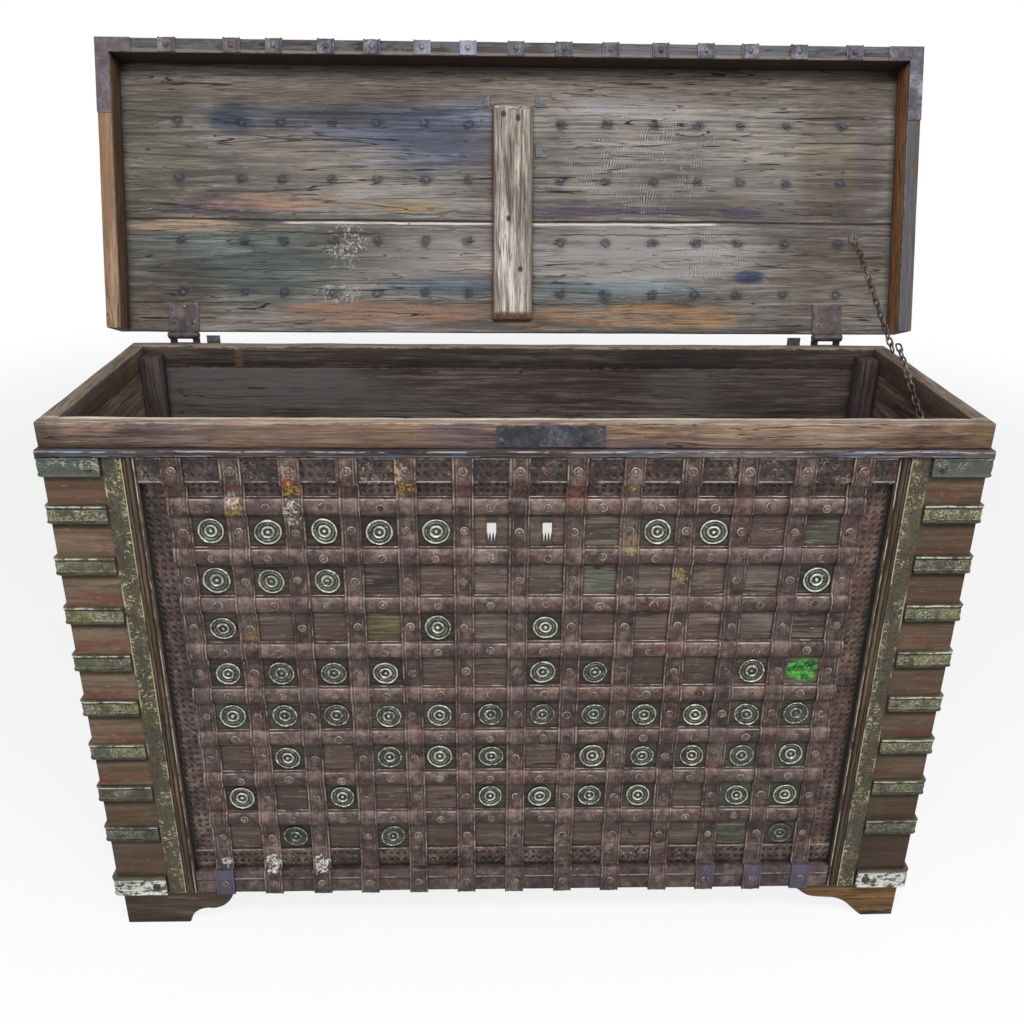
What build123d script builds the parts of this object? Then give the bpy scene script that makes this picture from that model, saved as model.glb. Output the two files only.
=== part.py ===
from build123d import *
import math
import os

# A damchiya: an iron-clad plank chest on bracket feet, with a shoebox lid that stands open
# on its stay chain. Millimetres. X runs to the right, Y to the back, Z up. While the pieces
# are made, Y = 0 is the front face of the carcase and Z = 0 is the floor. The finished
# chest is then centred front to back about its whole outline, lid included.

# ---------------------------------------------------------------- carcase sizes
WIDTH = 1400.0          # across the carcase and its rim
DEPTH = 480.0           # front face to back face
RIM_TOP = 944.0         # floor to the top of the rim
RIM_H = 40.0            # plain rim band above the lip moulding
WALL_T = 26.0           # wall boards and rim rails
FOOT_H = 74.0           # clear height under the body
STILE_W = 138.0         # painted front stiles
STILE_T = 30.0
PANEL_INSET = 14.0      # front boards set back from the stiles
TOP_RAIL_H = 54.0
BOTTOM_RAIL_H = 47.0
BOTTOM_RAIL_PROUD = 2.0
FLOOR_T = 22.0
FLOOR_LIFT = 16.0       # underside of the floor boards above the foot of the walls
POST = 36.0             # square corner posts
POST_DROP = 14.0        # tops of the posts below the rim
WALL_BOARDS = 4
FLOOR_BOARDS = 4

# bracket feet
FOOT_INSET = 4.0
FOOT_T = 30.0
FOOT_FLAT = 112.0       # flat sole, measured along the front
FOOT_REACH = 195.0      # full length along the front
FOOT_SIDE_REACH = 150.0
FOOT_SIDE_FLAT = 84.0
# the right-hand pair were sawn to a longer shoulder: from the sole up to the body
# (the heights are those of a foot of RIGHT_EDGE_H, and follow the foot's own height)
RIGHT_EDGE_H = 74.0
RIGHT_FOOT_EDGE = ((57, 0), (77, 18), (91, 31), (106, 39.5), (129, 42.5), (152, 44.5),
                   (165, 49), (179, 60), (190, 67.5), (206, RIGHT_EDGE_H))

# lip moulding that the lid comes down to
LIP_H = 12.0
LIP_OUT = 8.0
LIP_SIDE_OUT = 4.0      # it stands out less at the sides

# ---------------------------------------------------------------- front ironwork
IRON_T = 2.5            # straps and pressed sheets
STRAP_W = 32.0
COLUMNS = 12
ROWS = 8
SIDE_SHEET_W = 35.0     # dimpled sheet between the lattice and a stile
SHORT_ROW_H = 25.0      # low row of cells under the top rail
BORDER_H = 39.0         # dimpled border above the bottom rail
STRAP_HOOK = 4.0        # strap end turned in under the bottom rail
LEVEL_OUT = 8.0         # crown of a level strap off the front boards
# half-round section of a level strap: shares of half its width and of its crown
CROWN = ((1.0, 0.0), (0.92, 0.48), (0.7, 0.82), (0.42, 1.0))
RIVET_D = 13.0
RIVET_H = 3.0
ROUNDEL_D = 42.0
BOSS_NAIL_D = 7.0
# cells that still hold their roundel: row by row from the top, columns from the left
ROUNDEL_COLUMNS = (
    (1, 2, 3, 4, 5, 9, 10),
    (1, 2, 3, 12),
    (1, 5, 7),
    (1, 2, 3, 4, 7, 8, 11),
    (1, 2, 3, 4, 5, 6, 7, 8, 9, 10, 11, 12),
    (2, 4, 5, 6, 8, 9, 10, 11, 12),
    (1, 3, 6, 7, 8, 9, 11, 12),
    (2, 4, 12),
)

# embossed strip and bead along the inner edge of each stile
BEAD_W = 16.0
BEAD_OUT = 6.0
BEAD_MARGIN = 2.0
EMBOSS_W = 30.0
EMBOSS_T = 1.5

# bands round the front corners
BAND_T = 4.0
BAND_H = 29.0
BANDS = 8
BAND_SIDE = 110.0       # length of a band along the side
CAP_T = 7.0
CAP_H = 30.0
BASE_BAND_H = 38.0
GAP_UNDER_CAP = 46.0
GAP_OVER_BASE = 81.0
BAND_RIVET_IN = 16.0    # rivet centre from the end of a band

# keeper plates of the old hasp, and the iron plate on the rim
KEEPER_W = 16.0
KEEPER_H = 46.0
KEEPER_T = 1.5
KEEPER_SLOT_H = 5.0
RIM_PLATE_W = 160.0
RIM_PLATE_H = 32.0
RIM_PLATE_T = 1.5
RIM_PLATE_X = 44.0      # centre of the plate, right of the middle
NAIL_D = 8.0
NAIL_H = 1.2

# ---------------------------------------------------------------- lid sizes
OPEN_ANGLE = 108.0      # lid thrown back from shut
LID_GAP = 3.0           # lid skirt to rim, all round
SKIRT_T = 24.0
SKIRT_H = 58.0
LID_T = 22.0
LID_BACK_EDGE = 8.0     # rear edge of the lid boards in front of the hinge axis
LID_SEAMS = (205.0, 412.0)   # board joints, measured from the hinge axis
BATTEN_W = 72.0
BATTEN_T = 20.0
BATTEN_START = 30.0
BATTEN_END = 410.0
BATTEN_CHAMFER = 9.0
LID_STRAP_W = 30.0
LID_STRAP_MARGIN = 123.0     # end straps from the ends of the lid
# how far each lid strap was nailed from its even place
LID_STRAP_OFFS = (0.0, 26.0, 13.0, 17.0, 11.0, 12.0, 6.0, 4.0, 2.0, -2.0, 0.0, -6.0,
                  -14.0, -13.0, 0.0)
LID_STRAP_CLIP = 18.0        # strap turned in under the front skirt
LID_PLATE_T = 2.0
LID_PLATE_SIDE = 125.0
LID_PLATE_FRONT = 62.0
LID_NAIL_ROWS = (78.0, 171.0, 280.0, 380.0)   # from the hinge axis
CLINCH_L = 13.0
CLINCH_W = 5.0
CLINCH_T = 2.5
TRIANGLE = 22.0

# ---------------------------------------------------------------- hinges
AXIS_LIFT = 15.0        # hinge axis above the rim
KNUCKLE_R = 7.0
PIN_R = 3.5
PIN_PLAY = 0.05         # radial
KNUCKLE_PLAY = 0.4      # between neighbouring knuckles
LEAF_T = 3.0
LEAF_W = 54.0
LEAF_H = 60.0
CENTRE_KNUCKLE = 28.0
PIN_END = 2.0           # pin beyond the leaf at each end
LEFT_HINGE_IN = 96.0    # hinge centres from the ends of the carcase
RIGHT_HINGE_IN = 112.0
TAB_W = 24.0
TAB_H = 44.0
TAB_RISE = 13.0
LEFT_TAB_OFF = 52.0     # tab centres from the hinge centres, towards the middle
RIGHT_TAB_OFF = 60.0

# ---------------------------------------------------------------- stay chain
LINK_L = 22.0
LINK_W = 12.0
LINK_D = 3.2            # wire
LINK_PLAY = 0.3
EYE_BORE_R = 2.4
EYE_WIRE_R = 1.5
EYE_STAND = 12.0        # eye centre off the face it is driven into
EYE_PLATE_D = 16.0
EYE_PLATE_T = 2.0
LID_EYE_IN = 68.0       # from the end of the carcase
LID_EYE_UP = 181.0      # from the hinge axis
WALL_EYE_OFF = 15.0     # from the inside of the side wall
WALL_EYE_DROP = 94.0    # below the top of the rim
RUN_SPACING = 13.0      # between the two runs of chain where they meet
CHAIN_SAG = 8.0
UPPER_LINKS = 18
LOWER_LINKS = 17

# ---------------------------------------------------------------- worked-out places
HALF = WIDTH / 2
BODY_TOP = RIM_TOP - RIM_H
BODY_BOTTOM = FOOT_H
INSIDE_X = HALF - WALL_T
INSIDE_BACK = DEPTH - WALL_T
PANEL_X = HALF - STILE_W
TOP_RAIL_Z = BODY_TOP - TOP_RAIL_H
BOTTOM_RAIL_Z = BODY_BOTTOM + BOTTOM_RAIL_H
LIP_Z = BODY_TOP - LIP_H
BORDER_Z = BOTTOM_RAIL_Z + BORDER_H
LATTICE_TOP = TOP_RAIL_Z - SHORT_ROW_H
LATTICE_X = PANEL_X - SIDE_SHEET_W
PITCH_X = (2 * LATTICE_X - STRAP_W) / COLUMNS
PITCH_Z = (LATTICE_TOP - BORDER_Z) / ROWS
FLOOR_Z = BODY_BOTTOM + FLOOR_LIFT
FLOOR_TOP = FLOOR_Z + FLOOR_T
CAP_Z = LIP_Z - CAP_H
BASE_BAND_TOP = BODY_BOTTOM + BASE_BAND_H
STRAP_FACE = PANEL_INSET - IRON_T

BEAD_X = PANEL_X + BEAD_MARGIN + BEAD_W / 2
EMBOSS_X = BEAD_X + BEAD_W / 2 + BEAD_MARGIN + EMBOSS_W / 2
BAND_END_X = EMBOSS_X + EMBOSS_W / 2 + BEAD_MARGIN

AXIS_Y = DEPTH + LEAF_T - KNUCKLE_R
AXIS_Z = RIM_TOP + AXIS_LIFT
LID_UNDER = AXIS_Z + KNUCKLE_R
LID_TOP = LID_UNDER + LID_T
LID_IN_X = HALF + LID_GAP
LID_X = LID_IN_X + SKIRT_T
LEFT_HINGE_X = LEFT_HINGE_IN - HALF
RIGHT_HINGE_X = HALF - RIGHT_HINGE_IN
LEFT_TAB_X = LEFT_HINGE_X + LEFT_TAB_OFF
RIGHT_TAB_X = RIGHT_HINGE_X - RIGHT_TAB_OFF
LID_EYE_X = HALF - LID_EYE_IN
WALL_EYE_X = INSIDE_X - WALL_EYE_OFF
WALL_EYE_Z = RIM_TOP - WALL_EYE_DROP
UPPER_CHAIN_END_X = WALL_EYE_X - RUN_SPACING
LID_IN_FRONT = -LID_GAP
LID_FRONT = LID_IN_FRONT - SKIRT_T
LID_BACK = AXIS_Y - LID_BACK_EDGE
SKIRT_FOOT = LID_UNDER - SKIRT_H

HINGE_LINE = Axis((0, AXIS_Y, AXIS_Z), (1, 0, 0))


# ================================================================ helpers
def block(x0, x1, y0, y1, z0, z1):
    """A squared piece between two corners."""
    return Pos((x0 + x1) / 2, (y0 + y1) / 2, (z0 + z1) / 2) * Box(x1 - x0, y1 - y0, z1 - z0)


def along_x(points_yz, x0, x1):
    """A section drawn in (y, z) and drawn out from x0 to x1."""
    section = make_face(Polyline(*[(x0, y, z) for y, z in points_yz], close=True))
    return extrude(section, amount=x1 - x0, dir=(1, 0, 0))


def along_z(points_xy, z0, z1):
    """A section drawn in (x, y) and drawn out from z0 to z1."""
    section = make_face(Polyline(*[(x, y, z0) for x, y in points_xy], close=True))
    return extrude(section, amount=z1 - z0, dir=(0, 0, 1))


def turned(points_rh):
    """A turned piece with its base at the origin and its crown towards +Z."""
    section = make_face(Polyline(*[(r, 0, h) for r, h in points_rh], close=True))
    return revolve(section, Axis.Z)


def other_side(shape):
    return mirror(shape, Plane.YZ)


def group(pieces):
    """Loose pieces kept together: each stays a solid of its own."""
    return Compound([solid for piece in pieces for solid in piece.solids()])


def boards(count, low, high, make):
    """Lay count equal boards side by side from low to high."""
    step = (high - low) / count
    return group(make(low + i * step, low + (i + 1) * step) for i in range(count))


def opened(shape):
    """Swing a piece of the shut lid back to where its chain stops it."""
    return shape.rotate(HINGE_LINE, -OPEN_ANGLE)


def nail_head(diameter, height):
    """A low hammered head: a cone frustum with its base at the origin."""
    return turned(((0, 0), (diameter / 2, 0), (diameter / 4, height), (0, height)))


def facing(head, direction, place):
    """Turn a head from +Z to a direction and set its base at a place."""
    turns = {
        "front": Rot(90, 0, 0),
        "back": Rot(-90, 0, 0),
        "left": Rot(0, -90, 0),
        "right": Rot(0, 90, 0),
        "up": Rot(0, 0, 0),
        "down": Rot(180, 0, 0),
    }
    return Pos(*place) * turns[direction] * head


parts = {}


# ================================================================ carcase woodwork
parts["front_boards"] = boards(
    WALL_BOARDS, BODY_BOTTOM, BODY_TOP,
    lambda z0, z1: block(-PANEL_X, PANEL_X, PANEL_INSET, PANEL_INSET + WALL_T, z0, z1))

stile = block(-HALF, -PANEL_X, 0, STILE_T, BODY_BOTTOM, BODY_TOP)
parts["stile_left"] = stile
parts["stile_right"] = other_side(stile)

side_wall = boards(
    WALL_BOARDS, BODY_BOTTOM, BODY_TOP,
    lambda z0, z1: block(-HALF, -INSIDE_X, STILE_T, DEPTH, z0, z1))
parts["side_boards_left"] = side_wall
parts["side_boards_right"] = other_side(side_wall)

parts["back_boards"] = boards(
    WALL_BOARDS, BODY_BOTTOM, BODY_TOP,
    lambda z0, z1: block(-INSIDE_X, INSIDE_X, INSIDE_BACK, DEPTH, z0, z1))

INSIDE_FRONT = PANEL_INSET + WALL_T
parts["floor_boards"] = boards(
    FLOOR_BOARDS, INSIDE_FRONT, INSIDE_BACK,
    lambda y0, y1: block(-INSIDE_X, INSIDE_X, y0, y1, FLOOR_Z, FLOOR_TOP))


def corner_post(x, y):
    return block(x, x + POST, y, y + POST, FLOOR_TOP, RIM_TOP - POST_DROP)


parts["corner_posts"] = group(
    corner_post(x, y)
    for x in (-INSIDE_X, INSIDE_X - POST)
    for y in (INSIDE_FRONT, INSIDE_BACK - POST))

parts["rim_front"] = block(-HALF, HALF, 0, WALL_T, BODY_TOP, RIM_TOP)
parts["rim_rear"] = block(-HALF, HALF, INSIDE_BACK, DEPTH, BODY_TOP, RIM_TOP)
rim_side = block(-HALF, -INSIDE_X, WALL_T, INSIDE_BACK, BODY_TOP, RIM_TOP)
parts["rim_left"] = rim_side
parts["rim_right"] = other_side(rim_side)

lip_front = block(-HALF - LIP_SIDE_OUT, HALF + LIP_SIDE_OUT, -LIP_OUT, 0, LIP_Z, BODY_TOP)
lip_side = block(-HALF - LIP_SIDE_OUT, -HALF, 0, DEPTH, LIP_Z, BODY_TOP)
LIP_ROUND = LIP_H / 3
lip_front = fillet(lip_front.edges().filter_by(Axis.X).group_by(Axis.Y)[0], LIP_ROUND)
lip_side = fillet(lip_side.edges().filter_by(Axis.Y).group_by(Axis.X)[0], LIP_SIDE_OUT / 2)
parts["lip_moulding"] = group((lip_front, lip_side, other_side(lip_side)))

parts["top_rail"] = block(-PANEL_X, PANEL_X, 0, PANEL_INSET, TOP_RAIL_Z, BODY_TOP)
parts["bottom_rail"] = block(
    -PANEL_X, PANEL_X, -BOTTOM_RAIL_PROUD, PANEL_INSET, BODY_BOTTOM, BOTTOM_RAIL_Z)


# ---------------------------------------------------------------- feet
def bracket(flat, reach, thickness):
    """A bracket board standing on its sole: a cove and a round run up to the body."""
    knee_x = (flat + reach) / 2
    knee_z = FOOT_H * 0.42
    cove_mid = (flat + (reach - flat) * 0.16, FOOT_H * 0.33)
    run = reach - knee_x
    drop = FOOT_H - knee_z
    round_r = (run ** 2 + drop ** 2) / (2 * run)
    half_turn = math.atan2(drop, knee_x - reach + round_r) / 2
    round_mid = (reach - round_r + round_r * math.cos(half_turn),
                 FOOT_H - round_r * math.sin(half_turn))
    edge = (
        Line((0, 0, 0), (flat, 0, 0))
        + ThreePointArc((flat, 0, 0), (cove_mid[0], 0, cove_mid[1]), (knee_x, 0, knee_z))
        + ThreePointArc((knee_x, 0, knee_z), (round_mid[0], 0, round_mid[1]),
                        (reach, 0, FOOT_H))
        + Line((reach, 0, FOOT_H), (0, 0, FOOT_H))
        + Line((0, 0, FOOT_H), (0, 0, 0))
    )
    return extrude(make_face(edge), amount=thickness, dir=(0, 1, 0))


def long_bracket(thickness):
    """The other pattern of bracket: a long shallow shoulder over a short sole."""
    flat, reach = RIGHT_FOOT_EDGE[0][0], RIGHT_FOOT_EDGE[-1][0]
    edge = (
        Line((0, 0, 0), (flat, 0, 0))
        + Spline(*[(x, 0, z * FOOT_H / RIGHT_EDGE_H) for x, z in RIGHT_FOOT_EDGE])
        + Line((reach, 0, FOOT_H), (0, 0, FOOT_H))
        + Line((0, 0, FOOT_H), (0, 0, 0))
    )
    return extrude(make_face(edge), amount=thickness, dir=(0, 1, 0))


def foot(front_bracket):
    """The front left foot: a front bracket and a side bracket in one block."""
    side_bracket = Pos(FOOT_T, 0, 0) * Rot(0, 0, 90) * bracket(
        FOOT_SIDE_FLAT, FOOT_SIDE_REACH, FOOT_T)
    return Pos(-HALF + FOOT_INSET, FOOT_INSET, 0) * (front_bracket + side_bracket)


left_foot = foot(bracket(FOOT_FLAT, FOOT_REACH, FOOT_T))
right_foot = other_side(foot(long_bracket(FOOT_T)))
mid_depth = Plane.XZ.offset(-DEPTH / 2)
parts["foot_front_left"] = left_foot
parts["foot_front_right"] = right_foot
parts["foot_rear_left"] = mirror(left_foot, mid_depth)
parts["foot_rear_right"] = mirror(right_foot, mid_depth)


# ================================================================ lattice on the front
def column_x(column):
    """Centre of a column of cells, counted from 1 at the left."""
    return (column - (COLUMNS + 1) / 2) * PITCH_X


def row_z(row):
    """Centre of a row of cells, counted from 1 at the top."""
    return LATTICE_TOP - (row - 1) * PITCH_Z - STRAP_W - (PITCH_Z - STRAP_W) / 2


def cross_z(index):
    """Centre of a level strap, counted from 0 at the top."""
    return LATTICE_TOP - STRAP_W / 2 - index * PITCH_Z


def upright_x(index):
    return (index - COLUMNS / 2) * PITCH_X


def crown(z, half_width, height):
    """Half-round outline in (y, z) from its upper edge to its lower edge."""
    upper = [(PANEL_INSET - height * out, z + half_width * side) for side, out in CROWN]
    lower = [(y, 2 * z - point_z) for y, point_z in reversed(upper)]
    return upper + lower


def clad_section(path, hook):
    """Section in (y, z) of a strap beaten over stepped and rounded work.

    path runs down the face of the work. The lower end is turned in under it by hook.
    """
    lifts = [0.0] * len(path)
    for index, ((y0, z0), (y1, z1)) in enumerate(zip(path, path[1:])):
        if z0 == z1:
            lifts[index] = lifts[index + 1] = IRON_T if y1 < y0 else -IRON_T
    outer = [(y - IRON_T, z + lift) for (y, z), lift in zip(path, lifts)]
    face, foot_z = path[-1]
    outer[-1] = (face - IRON_T, foot_z - IRON_T)
    outer.append((face + hook, foot_z - IRON_T))
    return path + [(face + hook, foot_z)] + outer[::-1]


strap_path = [(-IRON_T, LIP_Z), (-IRON_T, TOP_RAIL_Z), (PANEL_INSET, TOP_RAIL_Z)]
for index in range(ROWS):
    strap_path += crown(cross_z(index), STRAP_W / 2, LEVEL_OUT)
strap_path += [(PANEL_INSET, BORDER_Z), (STRAP_FACE, BORDER_Z), (STRAP_FACE, BOTTOM_RAIL_Z),
               (-BOTTOM_RAIL_PROUD, BOTTOM_RAIL_Z), (-BOTTOM_RAIL_PROUD, BODY_BOTTOM)]
upright = along_x(clad_section(strap_path, STRAP_HOOK), -STRAP_W / 2, STRAP_W / 2)
parts["upright_straps"] = group(
    Pos(upright_x(index), 0, 0) * upright for index in range(COLUMNS + 1))

# level straps: iron bent half-round, standing on its two edges
level_strap = along_x(
    crown(0, STRAP_W / 2, LEVEL_OUT)
    + crown(0, STRAP_W / 2 - IRON_T, LEVEL_OUT - IRON_T)[::-1],
    -LATTICE_X, LATTICE_X)
parts["level_straps"] = group(
    Pos(0, 0, cross_z(index)) * level_strap for index in range(ROWS))

parts["top_border_sheet"] = block(-PANEL_X, PANEL_X, -IRON_T, 0, TOP_RAIL_Z, LIP_Z)
parts["bottom_border_sheet"] = block(
    -PANEL_X, PANEL_X, STRAP_FACE, PANEL_INSET, BOTTOM_RAIL_Z, BORDER_Z)
side_sheet = block(-PANEL_X, -LATTICE_X, STRAP_FACE, PANEL_INSET, BORDER_Z, TOP_RAIL_Z)
parts["side_sheets"] = group((side_sheet, other_side(side_sheet)))

# rivets: on the uprights beside each cell, on the level straps above each cell,
# on the upper ends over the top rail and on the lower ends over the bottom rail
rivet = nail_head(RIVET_D, RIVET_H)
TOP_RIVET_Z = (TOP_RAIL_Z + LIP_Z) / 2
BOTTOM_RIVET_Z = (BODY_BOTTOM + BOTTOM_RAIL_Z) / 2
strap_rivets = []
for index in range(COLUMNS + 1):
    x = upright_x(index)
    strap_rivets.append(facing(rivet, "front", (x, -2 * IRON_T, TOP_RIVET_Z)))
    strap_rivets.append(
        facing(rivet, "front", (x, -BOTTOM_RAIL_PROUD - IRON_T, BOTTOM_RIVET_Z)))
    for row in range(1, ROWS + 1):
        strap_rivets.append(facing(rivet, "front", (x, STRAP_FACE, row_z(row))))
for column in range(1, COLUMNS + 1):
    for index in range(ROWS):
        strap_rivets.append(
            facing(rivet, "front",
                   (column_x(column), PANEL_INSET - LEVEL_OUT, cross_z(index))))
parts["strap_rivets"] = group(strap_rivets)

# roundels: three turned rings round a boss, each held by one nail through the boss
ROUNDEL_R = ROUNDEL_D / 2
BOSS_H = 5.0
ring_section = ((0, 0), (ROUNDEL_R, 0), (ROUNDEL_R, 1.6), (ROUNDEL_R * 0.93, 3.2),
                (ROUNDEL_R * 0.84, 1.8), (ROUNDEL_R * 0.72, 1.8), (ROUNDEL_R * 0.64, 3.8),
                (ROUNDEL_R * 0.55, 2.2), (ROUNDEL_R * 0.44, 2.2), (ROUNDEL_R * 0.36, 4.4),
                (ROUNDEL_R * 0.27, BOSS_H), (0, BOSS_H))
roundel = turned(ring_section)
boss_nail = nail_head(BOSS_NAIL_D, 2 * NAIL_H)
roundel_places = [(column_x(column), row_z(row + 1))
                  for row, columns in enumerate(ROUNDEL_COLUMNS)
                  for column in columns]
parts["roundels"] = group(
    facing(roundel, "front", (x, PANEL_INSET, z)) for x, z in roundel_places)
parts["roundel_nails"] = group(
    facing(boss_nail, "front", (x, PANEL_INSET - BOSS_H, z)) for x, z in roundel_places)

# keeper plates of the old hasp, in the two middle cells of the top row
keeper = block(-KEEPER_W / 2, KEEPER_W / 2, PANEL_INSET - KEEPER_T, PANEL_INSET,
               row_z(1) - KEEPER_H / 2, row_z(1) + KEEPER_H / 2)
SLOT_Z = row_z(1) + KEEPER_H / 2 - 2 * KEEPER_SLOT_H
keeper -= block(-KEEPER_W / 4, KEEPER_W / 4, PANEL_INSET - KEEPER_T, PANEL_INSET,
                SLOT_Z, SLOT_Z + KEEPER_SLOT_H)
parts["hasp_keepers"] = group(
    Pos(column_x(column), 0, 0) * keeper for column in (COLUMNS // 2, COLUMNS // 2 + 1))


# ================================================================ stile trim and corner iron
bead = Pos(-BEAD_X, 0, 0) * along_z(
    ((-BEAD_W / 2, 0), (-BEAD_W / 2, -BEAD_OUT / 3), (-BEAD_W / 4, -BEAD_OUT),
     (BEAD_W / 4, -BEAD_OUT), (BEAD_W / 2, -BEAD_OUT / 3), (BEAD_W / 2, 0)),
    BODY_BOTTOM, LIP_Z)
parts["stile_beads"] = group((bead, other_side(bead)))

emboss = block(-EMBOSS_X - EMBOSS_W / 2, -EMBOSS_X + EMBOSS_W / 2, -EMBOSS_T, 0,
               BODY_BOTTOM, LIP_Z)
parts["embossed_strips"] = group((emboss, other_side(emboss)))


def corner_iron(thickness, z0, z1):
    """A strap bent round the front left corner."""
    iron = along_z(
        ((-BAND_END_X, 0), (-HALF, 0), (-HALF, BAND_SIDE), (-HALF - thickness, BAND_SIDE),
         (-HALF - thickness, -thickness), (-BAND_END_X, -thickness)), z0, z1)
    corner = iron.edges().filter_by(Axis.Z).sort_by(
        lambda edge: edge.center().X + edge.center().Y)[0]
    return fillet(corner, thickness * 0.9)


FIRST_BAND_Z = CAP_Z - GAP_UNDER_CAP - BAND_H / 2
LAST_BAND_Z = BASE_BAND_TOP + GAP_OVER_BASE + BAND_H / 2
BAND_PITCH = (FIRST_BAND_Z - LAST_BAND_Z) / (BANDS - 1)
band_zs = [FIRST_BAND_Z - index * BAND_PITCH for index in range(BANDS)]
bands_left = group(corner_iron(BAND_T, z - BAND_H / 2, z + BAND_H / 2) for z in band_zs)
parts["corner_bands_left"] = bands_left
parts["corner_bands_right"] = other_side(bands_left)

cap = corner_iron(CAP_T, CAP_Z, LIP_Z)
parts["corner_caps"] = group((cap, other_side(cap)))
base_band = corner_iron(CAP_T, BODY_BOTTOM, BASE_BAND_TOP)
parts["base_bands"] = group((base_band, other_side(base_band)))

corner_rivets = []
for z, thickness in [(z, BAND_T) for z in band_zs] + [((CAP_Z + LIP_Z) / 2, CAP_T),
                     ((BODY_BOTTOM + BASE_BAND_TOP) / 2, CAP_T)]:
    front_rivet = facing(rivet, "front", (-BAND_END_X - BAND_RIVET_IN, -thickness, z))
    side_rivet = facing(rivet, "left", (-HALF - thickness, BAND_SIDE - BAND_RIVET_IN, z))
    corner_rivets += [front_rivet, side_rivet, other_side(front_rivet), other_side(side_rivet)]
parts["corner_rivets"] = group(corner_rivets)

# iron plate on the front rim
PLATE_Z = RIM_TOP - RIM_H / 2
parts["rim_plate"] = block(
    RIM_PLATE_X - RIM_PLATE_W / 2, RIM_PLATE_X + RIM_PLATE_W / 2, -RIM_PLATE_T, 0,
    PLATE_Z - RIM_PLATE_H / 2, PLATE_Z + RIM_PLATE_H / 2)

# nails: the rim plate's four, and two through the end of every wall board into its post
nail = nail_head(NAIL_D, NAIL_H)
board_nails = []
for side in (-1, 1):
    plate_nail_x = RIM_PLATE_X + side * (RIM_PLATE_W / 2 - NAIL_D)
    for step in (-1, 1):
        board_nails.append(facing(nail, "front", (plate_nail_x, -RIM_PLATE_T,
                                                  PLATE_Z + step * RIM_PLATE_H / 4)))
BOARD_H = (BODY_TOP - BODY_BOTTOM) / WALL_BOARDS
for index in range(WALL_BOARDS):
    for share in (0.3, 0.7):
        z = BODY_BOTTOM + (index + share) * BOARD_H
        for side in (-1, 1):
            board_nails.append(
                facing(nail, "back", (side * (INSIDE_X - POST / 2), DEPTH, z)))
            board_nails.append(facing(nail, "left" if side < 0 else "right",
                                      (side * HALF, INSIDE_BACK - POST / 2, z)))
parts["board_nails"] = group(board_nails)


# ================================================================ lid, made shut
def lid_board(y0, y1):
    return block(-LID_X, LID_X, y0, y1, LID_UNDER, LID_TOP)


seam_ys = [LID_BACK] + [AXIS_Y - seam for seam in LID_SEAMS] + [LID_FRONT]
lid = {}
lid["lid_boards"] = group(lid_board(y1, y0) for y0, y1 in zip(seam_ys, seam_ys[1:]))
lid["lid_skirt_front"] = block(-LID_X, LID_X, LID_FRONT, LID_IN_FRONT, SKIRT_FOOT, LID_UNDER)
skirt_side = block(-LID_X, -LID_IN_X, LID_IN_FRONT, LID_BACK, SKIRT_FOOT, LID_UNDER)
lid["lid_skirt_left"] = skirt_side
lid["lid_skirt_right"] = other_side(skirt_side)

batten = block(-BATTEN_W / 2, BATTEN_W / 2, AXIS_Y - BATTEN_END, AXIS_Y - BATTEN_START,
               LID_UNDER - BATTEN_T, LID_UNDER)
lid["lid_batten"] = chamfer(batten.faces().sort_by(Axis.Z)[0].edges(), BATTEN_CHAMFER)

# straps over the top boards, down the front skirt and turned in under it
LID_STRAP_START = LID_BACK - LID_STRAP_W
lid_strap = along_x(
    ((LID_STRAP_START, LID_TOP), (LID_STRAP_START, LID_TOP + IRON_T),
     (LID_FRONT - IRON_T, LID_TOP + IRON_T), (LID_FRONT - IRON_T, SKIRT_FOOT - IRON_T),
     (LID_FRONT + LID_STRAP_CLIP, SKIRT_FOOT - IRON_T),
     (LID_FRONT + LID_STRAP_CLIP, SKIRT_FOOT), (LID_FRONT, SKIRT_FOOT),
     (LID_FRONT, LID_TOP)),
    -LID_STRAP_W / 2, LID_STRAP_W / 2)
LID_STRAP_GAPS = len(LID_STRAP_OFFS) - 1
LID_STRAP_PITCH = 2 * (LID_X - LID_STRAP_MARGIN) / LID_STRAP_GAPS
lid_strap_xs = [(index - LID_STRAP_GAPS / 2) * LID_STRAP_PITCH + off
                for index, off in enumerate(LID_STRAP_OFFS)]
lid["lid_straps"] = group(Pos(x, 0, 0) * lid_strap for x in lid_strap_xs)

lid_rivets = []
clinches = []
small_rivet = nail_head(RIVET_D * 0.8, RIVET_H * 0.8)
clinch = block(-CLINCH_L / 2, CLINCH_L / 2, -CLINCH_W / 2, CLINCH_W / 2, -CLINCH_T, 0)
clinch = chamfer(clinch.faces().sort_by(Axis.Z)[0].edges(), CLINCH_T * 0.6)
CLIP_RIVET_Y = LID_FRONT + LID_STRAP_CLIP * 0.6
SKIRT_RIVET_Z = (SKIRT_FOOT + LID_TOP) / 2
for x in lid_strap_xs:
    lid_rivets.append(facing(small_rivet, "down", (x, CLIP_RIVET_Y, SKIRT_FOOT - IRON_T)))
    lid_rivets.append(facing(small_rivet, "front", (x, LID_FRONT - IRON_T, SKIRT_RIVET_Z)))
    for reach in LID_NAIL_ROWS:
        y = AXIS_Y - reach
        lid_rivets.append(facing(small_rivet, "up", (x, y, LID_TOP + IRON_T)))
        if abs(x) > BATTEN_W / 2 + CLINCH_L:
            clinches.append(Pos(x, y, LID_UNDER) * clinch)
lid["lid_rivets"] = group(lid_rivets)
lid["lid_clinched_nails"] = group(clinches)

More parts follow.
